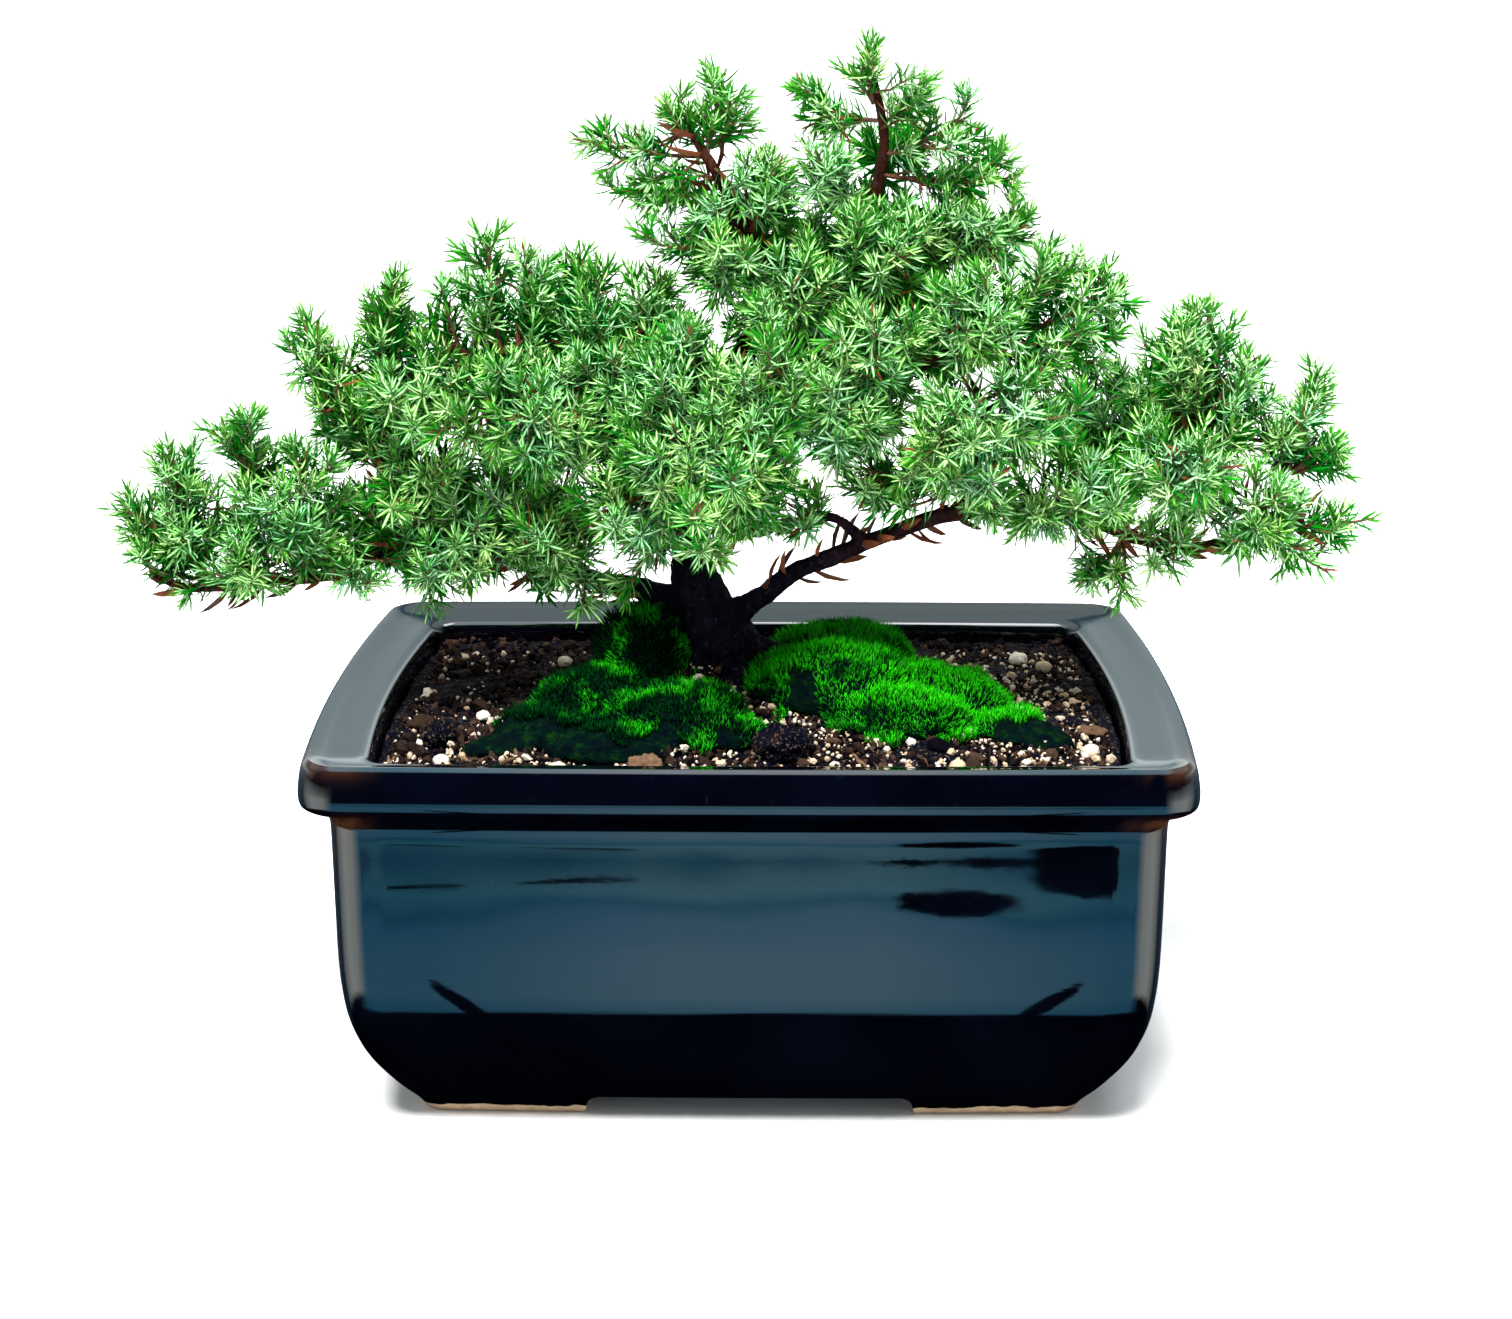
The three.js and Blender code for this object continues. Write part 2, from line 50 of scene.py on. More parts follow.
# ---------------------------------------------------------------- sizes
POT_WIDTH = 203
POT_DEPTH = 153
POT_HEIGHT = 94
POT_CORNER = 9
POT_SIDE_BOW = 3.6
POT_FRONT_BOW = 1.2
FOOT_HEIGHT = 6
FOOT_CORNER = 3.5
FOOT_FRONT_GAP = 78
FOOT_SIDE_GAP = 56
CLAY_STRIP = 2.4  # how high the bare clay shows above the table
POT_FLOOR_TOP = 13
INNER_WALL_INSET = 15.2
DRAIN_RADIUS = 7
DRAIN_X = 45
SOIL_LEVEL = 86.3

NEEDLE_LENGTH = 6.3
NEEDLE_WIDTH = 0.88
NEEDLE_HOOK = 0.2  # how far a needle's tip turns back towards its shoot, as a share of its length
DRY_NEEDLE_WIDTH = 2.3
WHORL_STEP = 1.75  # between two whorls of three needles
TIP_SPACING = 6.6  # the least distance between two shoots' tips
TIP_AREA = 6  # the envelope's surface for each place tried for a tip, in square millimetres
INNER_TIP_SHARE = 0.3  # how many of the places between two boughs still carry a shoot

# How many random places are tried for each kind of loose grain, and for the thin moss between the cushions.
CRUMB_PLACES = 9000
GRIT_PLACES = 7000
CHIP_PLACES = 2600
FRINGE_PLACES = 60000

SUN_STRENGTH = 7.6
SUN_SPREAD = 20  # degrees across, which softens its shadows
SUN_WAY = (0.14, 0.46, -1)
PANEL_STRENGTH = 10
PANEL_PLACE = (250, 150, 1250)
PANEL_WAY = (-250, -150, -1110)

CAMERA_PLACE = (8, -626, 274)
CAMERA_TILT = 15.67
CAMERA_YAW = -0.64
CAMERA_LENS = 61.9


# ---------------------------------------------------------------- small tools
def unit(vectors):
    """Vectors scaled to length one."""
    lengths = np.linalg.norm(vectors, axis=-1, keepdims=True)
    return vectors / np.maximum(lengths, 1e-9)


def blend(a, b, share):
    """The mix of a and b that holds share of b."""
    return a * (1 - share) + b * share


def lattice(corner, seed):
    """A repeatable number from -1 to 1 for each whole-number lattice corner."""
    key = corner[:, 0] * 374761393 + corner[:, 1] * 668265263 + corner[:, 2] * 1440662683
    key = (key + seed * 1013904223) & 0xFFFFFFFF
    key = ((key ^ (key >> 13)) * 1274126177) & 0xFFFFFFFF
    key = ((key ^ (key >> 16)) * 2246822519) & 0xFFFFFFFF
    return (key & 0xFFFF) / 32767.5 - 1


def noise(points, size, seed=0):
    """Smooth noise from -1 to 1 whose bumps are about size across."""
    scaled = np.asarray(points, float) / size
    corner = np.floor(scaled).astype(np.int64)
    part = scaled - corner
    part = part * part * (3 - 2 * part)
    total = np.zeros(len(scaled))
    for dx in (0, 1):
        for dy in (0, 1):
            for dz in (0, 1):
                step = np.array([dx, dy, dz])
                weight = np.prod(np.where(step == 1, part, 1 - part), axis=1)
                total += weight * lattice(corner + step, seed)
    return total


def layered_noise(points, size, seed=0, layers=3):
    """Noise with finer and weaker layers over the coarse one."""
    total = np.zeros(len(points))
    for layer in range(layers):
        total += noise(points, size / 2**layer, seed + layer) / 2**layer
    return total


def make_piece(name, points, faces, materials, smooth=True, material_index=None):
    """A mesh piece from points in millimetres and arrays of faces, one array for each corner count."""
    groups = faces if isinstance(faces, list) else [faces]
    groups = [group for group in groups if len(group)]
    mesh = bpy.data.meshes.new(name)
    mesh.vertices.add(len(points))
    mesh.vertices.foreach_set("co", (np.asarray(points, np.float32) * MM).ravel())
    corners = np.concatenate([group.ravel() for group in groups])
    counts = np.concatenate([np.full(len(group), group.shape[1]) for group in groups])
    mesh.loops.add(len(corners))
    mesh.loops.foreach_set("vertex_index", corners.astype(np.int32))
    mesh.polygons.add(len(counts))
    starts = np.concatenate([[0], np.cumsum(counts)[:-1]])
    mesh.polygons.foreach_set("loop_start", starts.astype(np.int32))
    mesh.polygons.foreach_set("use_smooth", np.full(len(counts), smooth))
    if material_index is not None:
        mesh.polygons.foreach_set("material_index", material_index.astype(np.int32))
    mesh.update(calc_edges=True)
    mesh.validate()
    for one in materials if isinstance(materials, list) else [materials]:
        mesh.materials.append(one)
    piece = bpy.data.objects.new(name, mesh)
    bpy.context.scene.collection.objects.link(piece)
    return piece


def paint(piece, name, values):
    """Stores one number for each point of a piece, for its material to read."""
    layer = piece.data.attributes.new(name, "FLOAT", "POINT")
    layer.data.foreach_set("value", np.asarray(values, np.float32))


def apply_modifiers(piece):
    """Turns a piece's modifiers into its mesh."""
    layers = bpy.context.evaluated_depsgraph_get()
    mesh = bpy.data.meshes.new_from_object(piece.evaluated_get(layers))
    piece.modifiers.clear()
    piece.data = mesh


def mesh_points(piece):
    """A piece's points and their normals, in millimetres."""
    count = len(piece.data.vertices)
    points = np.zeros(count * 3, np.float32)
    piece.data.vertices.foreach_get("co", points)
    normals = np.zeros(count * 3, np.float32)
    piece.data.vertex_normals.foreach_get("vector", normals)
    return points.reshape(-1, 3) / MM, normals.reshape(-1, 3)


def triangles_of(piece):
    """A piece's triangles, as rows of three point numbers."""
    mesh = piece.data
    mesh.calc_loop_triangles()
    triangles = np.zeros(len(mesh.loop_triangles) * 3, np.int32)
    mesh.loop_triangles.foreach_get("vertices", triangles)
    return triangles.reshape(-1, 3)


def triangle_measures(points, triangles):
    """Each triangle's corners, its outward normal that is twice its area long, and its area."""
    corner = points[triangles]
    cross = np.cross(corner[:, 1] - corner[:, 0], corner[:, 2] - corner[:, 0])
    return corner, cross, np.linalg.norm(cross, axis=1) / 2


def scattered_on(corner, cross, weight, count, rng):
    """Random places on triangles, more of them where weight is higher, and the outward direction at each."""
    chosen = rng.choice(len(corner), count, p=weight / weight.sum())
    share = rng.uniform(0, 1, (count, 2))
    share = np.where(share.sum(axis=1, keepdims=True) > 1, 1 - share, share)
    first, second, third = np.moveaxis(corner[chosen], 1, 0)
    place = first + (second - first) * share[:, :1] + (third - first) * share[:, 1:]
    return place, unit(cross[chosen])


def closed_skin(rows, sides):
    """The quads between stacked rings, and the triangles of the fans that close the first and the last.

    The points are the rings one after another, then the middle of the first fan and of the last.
    """
    here = np.arange(sides)
    after = (here + 1) % sides
    quad = np.stack([here, after, after + sides, here + sides], axis=1)
    quads = np.concatenate([quad + row * sides for row in range(rows - 1)])
    middle = np.full(sides, rows * sides)
    last = (rows - 1) * sides
    first_fan = np.stack([middle, after, here], axis=1)
    last_fan = np.stack([middle + 1, last + here, last + after], axis=1)
    return quads, np.concatenate([first_fan, last_fan])


def joined(parts):
    """Joins parts, each its points and then its arrays of faces, into one such part."""
    starts = np.cumsum([0] + [len(part[0]) for part in parts[:-1]])
    points = np.concatenate([part[0] for part in parts])
    groups = []
    for k in range(1, len(parts[0])):
        groups.append(np.concatenate([part[k] + start for part, start in zip(parts, starts)]))
    return points, *groups


def move_points(piece, points):
    """Gives a piece's points new places, in millimetres."""
    piece.data.vertices.foreach_set("co", (points * MM).astype(np.float32).ravel())
    piece.data.update()


def remesh(piece, voxel):
    """Rebuilds a piece as one even skin whose faces are voxel across."""
    modifier = piece.modifiers.new("even_skin", "REMESH")
    modifier.mode = "VOXEL"
    modifier.voxel_size = voxel * MM
    modifier.use_smooth_shade = True
    apply_modifiers(piece)


def soften(piece, rounds):
    """Smooths a piece's facets away."""
    modifier = piece.modifiers.new("soften", "SMOOTH")
    modifier.factor = 0.5
    modifier.iterations = rounds
    apply_modifiers(piece)


def refined(node, name, material, voxel, rounds):
    """A new even, softened piece that stands for a CAD node, ready for its fine relief."""
    piece = bpy.data.objects.new(name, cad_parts[node].data.copy())
    bpy.context.scene.collection.objects.link(piece)
    piece.data.materials.clear()
    piece.data.materials.append(material)
    remesh(piece, voxel)
    soften(piece, rounds)
    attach(piece, "root")
    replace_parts(piece, node)
    return piece


# ---------------------------------------------------------------- material tools
class NodeTools:
    """Adds nodes to one node tree. Most values may be a node's output, or a plain number or colour."""

    def __init__(self, tree):
        self.nodes = tree.nodes
        self.links = tree.links

    def give(self, value, socket):
        """Links or sets a socket."""
        if isinstance(value, bpy.types.NodeSocket):
            self.links.new(value, socket)
        elif isinstance(value, tuple):
            socket.default_value = (*value, 1)
        else:
            socket.default_value = value

    def ramp(self, value, stops):
        """Turns a number into a colour. stops are (position, colour)."""
        node = self.nodes.new("ShaderNodeValToRGB")
        ramp = node.color_ramp
        while len(ramp.elements) < len(stops):
            ramp.elements.new(0.5)
        for element, (position, colour) in zip(ramp.elements, stops):
            element.position = position
            element.color = (*colour, 1)
        self.give(value, node.inputs["Fac"])
        return node.outputs["Color"]

    def levels(self, value, low, high, to_low=0.0, to_high=1.0):
        """Maps the range low to high onto to_low to to_high, and holds it there."""
        node = self.nodes.new("ShaderNodeMapRange")
        for socket, number in zip(("From Min", "From Max", "To Min", "To Max"), (low, high, to_low, to_high)):
            node.inputs[socket].default_value = number
        self.give(value, node.inputs["Value"])
        return node.outputs["Result"]

    def mix(self, share, a, b, mode="MIX"):
        """Mixes two colours."""
        node = self.nodes.new("ShaderNodeMix")
        node.data_type = "RGBA"
        node.blend_type = mode
        for value, socket in zip((share, a, b), (node.inputs[0], node.inputs[6], node.inputs[7])):
            self.give(value, socket)
        return node.outputs[2]

    def math(self, operation, a, b=0.0):
        """One sum with two numbers."""
        node = self.nodes.new("ShaderNodeMath")
        node.operation = operation
        self.give(a, node.inputs[0])
        self.give(b, node.inputs[1])
        return node.outputs["Value"]

    def texture(self, place, scale, detail, stretch):
        """Noise over the given places, which are first stretched."""
        mapping = self.nodes.new("ShaderNodeMapping")
        mapping.inputs["Scale"].default_value = stretch
        self.links.new(place, mapping.inputs["Vector"])
        node = self.nodes.new("ShaderNodeTexNoise")
        node.inputs["Scale"].default_value = scale
        node.inputs["Detail"].default_value = detail
        self.links.new(mapping.outputs["Vector"], node.inputs["Vector"])
        return node

    def split(self, place):
        """The X, Y and Z parts of a place or direction."""
        node = self.nodes.new("ShaderNodeSeparateXYZ")
        self.links.new(place, node.inputs["Vector"])
        return node.outputs


class Shader(NodeTools):
    """A node material under construction, with one Principled shader."""

    def __init__(self, name, **values):
        self.material = bpy.data.materials.new(name)
        self.material.use_nodes = True
        super().__init__(self.material.node_tree)
        self.surface = self.nodes["Principled BSDF"]
        for socket, value in values.items():
            self.surface.inputs[socket.replace("_", " ")].default_value = value
        self.place = self.nodes.new("ShaderNodeNewGeometry").outputs["Position"]

    def link(self, source, socket):
        """Links an output to the Principled shader's named socket."""
        self.links.new(source, self.surface.inputs[socket])

    def attribute(self, name):
        """A number that paint() stored on the piece."""
        node = self.nodes.new("ShaderNodeAttribute")
        node.attribute_name = name
        return node.outputs["Fac"]

    def noise(self, size, detail=3, roughness=0.5, stretch=(1, 1, 1)):
        """Noise whose bumps are about size millimetres across."""
        node = self.texture(self.place, 1 / (size * MM), detail, stretch)
        node.inputs["Roughness"].default_value = roughness
        return node.outputs["Fac"]

    def cells(self, size):
        """The distance to the middle of the nearest of many cells, about size millimetres across."""
        node = self.nodes.new("ShaderNodeTexVoronoi")
        node.inputs["Scale"].default_value = 1 / (size * MM)
        self.links.new(self.place, node.inputs["Vector"])
        return node.outputs["Distance"]

    def along_axis(self, axis):
        """How far a point is along X, Y or Z, in millimetres."""
        return self.math("MULTIPLY", self.split(self.place)[axis], 1 / MM)

    def bump(self, height, depth, strength=1.0, normal=None):
        """Relief of depth millimetres."""
        node = self.nodes.new("ShaderNodeBump")
        node.inputs["Strength"].default_value = strength
        node.inputs["Distance"].default_value = depth * MM
        self.links.new(height, node.inputs["Height"])
        if normal is not None:
            self.links.new(normal, node.inputs["Normal"])
        self.link(node.outputs["Normal"], "Normal")
        return node.outputs["Normal"]


def glaze_material():
    """Black-navy glossy glaze, browner where it runs thin on the edges, over tan clay on the feet."""
    shader = Shader("glaze", Coat_Weight=0.5, Coat_Roughness=0.01)
    cloud = shader.noise(26, detail=4)
    glaze = shader.ramp(cloud, [(0.35, (0.0002, 0.0003, 0.0012)), (0.7, (0.0006, 0.001, 0.003))])
    speck = shader.levels(shader.noise(1.1, detail=2), 0.66, 0.74)
    glaze = shader.mix(shader.math("MULTIPLY", speck, 0.4), glaze, (0.006, 0.01, 0.015))
    patchy = shader.levels(shader.noise(9, detail=3), 0.35, 0.65)
    thin = shader.math("MULTIPLY", shader.attribute("thin_glaze"), patchy)
    glaze = shader.mix(thin, glaze, (0.055, 0.022, 0.008))
    clay = shader.ramp(shader.noise(2.5, detail=5), [(0.3, (0.34, 0.22, 0.12)), (0.7, (0.5, 0.36, 0.22))])
    above_clay = shader.math("SUBTRACT", shader.along_axis("Z"), CLAY_STRIP)
    edge = shader.math("ADD", above_clay, shader.levels(shader.noise(5), 0.3, 0.7, -0.5, 0.5))
    glazed = shader.levels(edge, -0.15, 0.15)
    shader.link(shader.mix(glazed, clay, glaze), "Base Color")
    satin = shader.levels(shader.noise(14, detail=5), 0.3, 0.75, 0.01, 0.03)
    rough = shader.mix(glazed, (0.85, 0.85, 0.85), satin)
    shader.link(rough, "Roughness")
    wave = shader.bump(shader.noise(32, detail=1), 0.9, 0.03)
    shader.bump(shader.noise(2.6, detail=2), 0.012, 0.12, wave)
    return shader.material


def screen_material():
    """Black moulded plastic with a faint haze."""
    shader = Shader("screen_plastic")
    shade = shader.ramp(shader.noise(3), [(0.3, (0.012, 0.012, 0.012)), (0.7, (0.03, 0.03, 0.028))])
    shader.link(shade, "Base Color")
    shader.link(shader.levels(shader.noise(1.2), 0.3, 0.7, 0.45, 0.7), "Roughness")
    shader.bump(shader.noise(0.6), 0.05)
    return shader.material


def soil_material():
    """Damp dark bark and peat mix with paler dust."""
    shader = Shader("potting_soil", Specular_IOR_Level=0.04)
    coarse = shader.noise(5, detail=6, roughness=0.7)
    colour = shader.ramp(
        coarse,
        [
            (0.3, (0.0005, 0.001, 0.004)),
            (0.5, (0.002, 0.003, 0.008)),
            (0.62, (0.008, 0.006, 0.008)),
            (0.75, (0.05, 0.028, 0.017)),
        ],
    )
    dust = shader.levels(shader.noise(0.7, detail=4), 0.58, 0.7)
    colour = shader.mix(shader.math("MULTIPLY", dust, 0.5), colour, (0.3, 0.2, 0.12))
    shader.link(colour, "Base Color")
    shader.link(shader.levels(shader.noise(2.0), 0.35, 0.65, 0.55, 0.95), "Roughness")
    relief = shader.bump(shader.noise(1.6, detail=6, roughness=0.7), 1.2)
    shader.bump(shader.cells(0.8), 0.4, 0.8, relief)
    return shader.material


def crumb_material(name, dark, light, size):
    """A loose grain whose shade changes from one grain to the next."""
    shader = Shader(name, Specular_IOR_Level=0.04)
    tone = shader.attribute("tone")
    colour = shader.mix(tone, dark, light)
    pitted = shader.noise(size, detail=5, roughness=0.65)
    shade = shader.ramp(pitted, [(0.3, (0.45, 0.45, 0.45)), (0.7, (1.0, 1.0, 1.0))])
    shader.link(shader.mix(0.85, colour, shade, "MULTIPLY"), "Base Color")
    shader.link(shader.levels(shader.noise(size), 0.3, 0.7, 0.6, 0.95), "Roughness")
    shader.bump(shader.noise(size * 0.5, detail=4, roughness=0.7), 0.25)
    return shader.material


def moss_ground_material():
    """The moss's matted base, seen between its stems. Its dark navy is partly its own colour and partly
    painted shade, most of all where it lies bare in front of the moss.
    """
    shader = Shader("moss_ground", Roughness=0.95, Specular_IOR_Level=0.03)
    colour = shader.ramp(
        shader.noise(3, detail=5, roughness=0.65),
        [(0.3, (0.0005, 0.001, 0.004)), (0.55, (0.001, 0.006, 0.004)), (0.75, (0.004, 0.03, 0.002))],
    )
    shader.link(colour, "Base Color")
    shader.bump(shader.noise(0.9, detail=4), 0.8)
    return shader.material


def moss_material():
    """Saturated green moss stems, brighter at their tips, with painted light: lit and dim patches, more of
    them lit towards the right.
    """
    shader = Shader("moss", Specular_IOR_Level=0.04)
    # Painted light: noise patches that grow towards the right pick between lit and dim copies of the moss
    # colour, and the lit ones also lift the roots.
    right = shader.math("MULTIPLY", shader.along_axis("X"), 0.003)
    patch = shader.math("ADD", shader.noise(9, detail=4, roughness=0.65), right)
    patch = shader.levels(patch, 0.42, 0.55)
    root = shader.mix(patch, (0.0002, 0.008, 0.001), (0.001, 0.04, 0.001))
    dim = shader.mix(shader.attribute("tone"), (0.0003, 0.008, 0.005), (0.001, 0.05, 0.004))
    lit = shader.mix(shader.attribute("tone"), (0.001, 0.25, 0.002), (0.035, 0.75, 0.006))
    top = shader.mix(patch, dim, lit)
    shader.link(shader.mix(shader.attribute("along"), root, top), "Base Color")
    shader.link(shader.levels(shader.attribute("tone"), 0, 1, 0.55, 0.8), "Roughness")
    shader.bump(shader.noise(0.5), 0.05)
    return shader.material


def bark_material():
    """Rough flaking bark: nearly black navy at the foot, redder brown out along the boughs, with painted
    highlights on its flakes. The navy-black at the foot is partly the old bark's own colour and partly
    painted shade under the canopy.
    """
    shader = Shader("bark", Specular_IOR_Level=0.05)
    # Painted shade: the colour darkens to navy-black towards the foot, partly the old bark's own colour.
    outward = shader.attribute("outward")
    dark = shader.mix(outward, (0.0006, 0.0006, 0.004), (0.014, 0.004, 0.003))
    pale = shader.mix(outward, (0.012, 0.01, 0.02), (0.09, 0.03, 0.016))
    flake = shader.noise(2.4, detail=7, roughness=0.72, stretch=(1, 1, 0.45))
    colour = shader.mix(shader.levels(flake, 0.38, 0.75), dark, pale)
    # Painted highlight: pale blue-grey flecks stand for light catching the flakes.
    painted_flake_highlight = shader.levels(shader.noise(1.3, detail=3, roughness=0.7), 0.62, 0.7, 0.0, 0.6)
    shader.link(shader.mix(painted_flake_highlight, colour, (0.06, 0.06, 0.1)), "Base Color")
    shader.link(shader.levels(flake, 0.3, 0.7, 0.6, 0.9), "Roughness")
    relief = shader.bump(flake, 0.9)
    shader.bump(shader.noise(0.5, detail=3), 0.15, 0.8, relief)
    return shader.material


def twig_material():
    """Young stems: green at the growing end, red-brown where they have turned woody."""
    shader = Shader("young_stem")
    woody = shader.ramp(shader.noise(1.4, detail=5), [(0.3, (0.06, 0.02, 0.01)), (0.7, (0.22, 0.09, 0.04))])
    fresh = shader.ramp(shader.noise(1.0, detail=3), [(0.3, (0.07, 0.16, 0.03)), (0.7, (0.16, 0.28, 0.07))])
    shader.link(shader.mix(shader.levels(shader.attribute("along"), 0.25, 0.6), woody, fresh), "Base Color")
    shader.link(shader.levels(shader.noise(0.8), 0.3, 0.7, 0.5, 0.8), "Roughness")
    shader.bump(shader.noise(0.6, detail=3), 0.12)
    return shader.material


def needle_material():
    """Waxy awl-shaped needles: a pale bloom band above, dark green below, and a few dry brown ones."""
    shader = Shader("needles", Specular_IOR_Level=0.06)
    tone = shader.attribute("tone")
    along = shader.attribute("along")
    patch = shader.levels(shader.noise(20, detail=2), 0.35, 0.65)
    green = shader.mix(tone, (0.0001, 0.035, 0.0005), (0.005, 0.3, 0.003))
    green = shader.mix(shader.math("MULTIPLY", patch, 0.35), green, (0.001, 0.14, 0.03))
    bloom = shader.mix(tone, (0.19, 0.74, 0.19), (0.92, 1.0, 0.8))
    stripe = shader.levels(shader.attribute("pale"), 0.3, 0.8)
    pale = shader.math("MULTIPLY", stripe, shader.levels(shader.noise(0.8), 0.3, 0.6, 0.75, 1.0))
    colour = shader.mix(pale, green, bloom)
    hue = shader.levels(shader.noise(14, detail=2), 0.35, 0.65)
    colour = shader.mix(1.0, colour, shader.mix(hue, (1.0, 1.0, 0.62), (0.78, 0.97, 1.0)), "MULTIPLY")
    fresh = shader.math("MULTIPLY", shader.attribute("fresh"), shader.levels(along, 0.2, 0.9, 0.3, 1.0))
    colour = shader.mix(shader.math("MULTIPLY", fresh, 0.6), colour, (0.3, 0.62, 0.08))
    withered = shader.mix(tone, (0.05, 0.012, 0.008), (0.26, 0.085, 0.035))
    colour = shader.mix(shader.attribute("dry"), colour, withered)
    shader.link(colour, "Base Color")
    shader.link(shader.levels(shader.noise(1.5), 0.3, 0.7, 0.35, 0.6), "Roughness")
    shader.bump(shader.noise(0.4, detail=2), 0.04)
    return shader.material


GLAZE = glaze_material()
SCREEN = screen_material()
SOIL = soil_material()
CRUMB = crumb_material("soil_crumb", (0.001, 0.001, 0.004), (0.07, 0.04, 0.028), 0.9)
PERLITE = crumb_material("perlite", (0.68, 0.48, 0.3), (1.0, 0.92, 0.78), 0.7)
CHIP = crumb_material("bark_chip", (0.002, 0.002, 0.004), (0.24, 0.14, 0.08), 1.2)
MOSS_GROUND_AND_SHADE = moss_ground_material()
MOSS = moss_material()
BARK = bark_material()
TWIG = twig_material()
NEEDLE = needle_material()


# ---------------------------------------------------------------- pot
FRONT_STEPS = 16
CORNER_STEPS = 10
SIDE_STEPS = 12


def plan_outline(inset):
    """The pot's outline at that inset from the rim's edge, counter-clockwise from the middle of the front."""
    half_x = POT_WIDTH / 2 - inset
    half_y = POT_DEPTH / 2 - inset
    radius = max(POT_CORNER - inset * 0.25, 4)
    quarter = []
    for i in range(FRONT_STEPS):
        quarter.append(((half_x - radius) * i / FRONT_STEPS, -half_y))
    for i in range(CORNER_STEPS + 1):
        turn = i / CORNER_STEPS * math.pi / 2
        x = half_x - radius + radius * math.sin(turn)
        y = -half_y + radius - radius * math.cos(turn)
        quarter.append((x, y))
    for i in range(1, SIDE_STEPS + 1):
        quarter.append((half_x, -(half_y - radius) * (1 - i / SIDE_STEPS)))
    right = quarter + [(x, -y) for x, y in reversed(quarter[:-1])]
    left = [(-x, -y) for x, y in right[1:-1]]
    outline = np.array(right + left)
    bow_x = 1 + POT_SIDE_BOW / half_x * (1 - (outline[:, 1] / half_y) ** 2)
    bow_y = 1 + POT_FRONT_BOW / half_y * (1 - (outline[:, 0] / half_x) ** 2)
    return np.stack([outline[:, 0] * bow_x, outline[:, 1] * bow_y], axis=1)


def rounded_line(corners, rounds):
    """Cuts a line's corners again and again, which rounds them. The ends stay."""
    line = np.array(corners, float)
    cut_share = 0.22
    for _ in range(rounds):
        near = blend(line[:-1], line[1:], cut_share)
        far = blend(line[:-1], line[1:], 1 - cut_share)
        cut = np.stack([near, far], axis=1).reshape(-1, line.shape[1])
        line = np.concatenate([line[:1], cut[1:-1], line[-1:]])
    return line


# Rows are [inset, z, how thin the glaze runs there].
POT_OUTSIDE = [
    [32, FOOT_HEIGHT, 0],
    [31.5, 0.6, 0],
    [31, 0, 0],
    [24.2, 0, 0],
    [23.4, 0.8, 0.6],
    [21.6, 4, 0.2],
    [17.5, 9, 0],
    [11.6, 18, 0],
    [8, 28, 0],
    [6.6, 40, 0],
    [6.4, 60, 0],
    [6.3, 76.5, 0.2],
    [6.1, 78.4, 1],
    [5.6, 79.4, 1],
    [5.2, 80.6, 0.9],
    [4.2, 81.4, 0.8],
    [1.8, 82.0, 0.5],
    [0.5, 82.9, 0.2],
    [0.1, 84.2, 0],
    [0, 86.4, 0],
    [0.25, 88.6, 0],
    [0.6, 91, 0.1],
    [1.1, 92.9, 0.6],
    [2.2, POT_HEIGHT, 0.8],
]
POT_INSIDE = [
    [3.8, 93.8, 0.1],
    [6, 92.8, 0],
    [10, 91.9, 0],
    [13.2, 91.4, 0.2],
    [14.6, 90.6, 0.8],
    [INNER_WALL_INSET, 88.6, 0.2],
    [INNER_WALL_INSET, 60, 0],
    [INNER_WALL_INSET, 42, 0],
    [17, 28, 0],
    [21, 19, 0],
    [28, 14, 0],
    [36, POT_FLOOR_TOP, 0],
]


def cutter(name, points, faces):
    """A solid that only cuts, and is removed afterwards."""
    mesh = bpy.data.meshes.new(name)
    mesh.from_pydata([tuple(Vector(p) * MM) for p in points], [], faces)
    piece = bpy.data.objects.new(name, mesh)
    bpy.context.scene.collection.objects.link(piece)
    return piece


def foot_arch(name, width, turned):
    """The opening between two feet, run right through along Y, or along X when turned."""
    half = width / 2
    centre_x = half - FOOT_CORNER
    centre_z = FOOT_HEIGHT - FOOT_CORNER
    steps = 6
    quarter = []
    for i in range(steps + 1):
        turn = i / steps * math.pi / 2
        quarter.append((FOOT_CORNER * math.cos(turn), FOOT_CORNER * math.sin(turn)))
    arch = [(-half - 1, -1), (half + 1, -1)]
    arch += [(centre_x + wide, centre_z + high) for wide, high in quarter]
    arch += [(-centre_x - wide, centre_z + high) for high, wide in quarter]
    count = len(arch)
    reach = POT_WIDTH * 0.6
    points = [(x, -reach, z) for x, z in arch] + [(x, reach, z) for x, z in arch]
    if turned:
        points = [(-y, x, z) for x, y, z in points]
    faces = [tuple(range(count)), tuple(reversed(range(count, 2 * count)))]
    faces += [(i, i + count, (i + 1) % count + count, (i + 1) % count) for i in range(count)]
    return cutter(name, points, faces)


def drain_cutter(name, x):
    """The round hole through the pot's floor."""
    count = 40
    ring = []
    for i in range(count):
        turn = 2 * math.pi * i / count
        ring.append((x + DRAIN_RADIUS * math.cos(turn), DRAIN_RADIUS * math.sin(turn)))
    points = [(px, py, -5) for px, py in ring] + [(px, py, 30) for px, py in ring]
    faces = [tuple(reversed(range(count))), tuple(range(count, 2 * count))]
    faces += [(i, (i + 1) % count, (i + 1) % count + count, i + count) for i in range(count)]
    return cutter(name, points, faces)


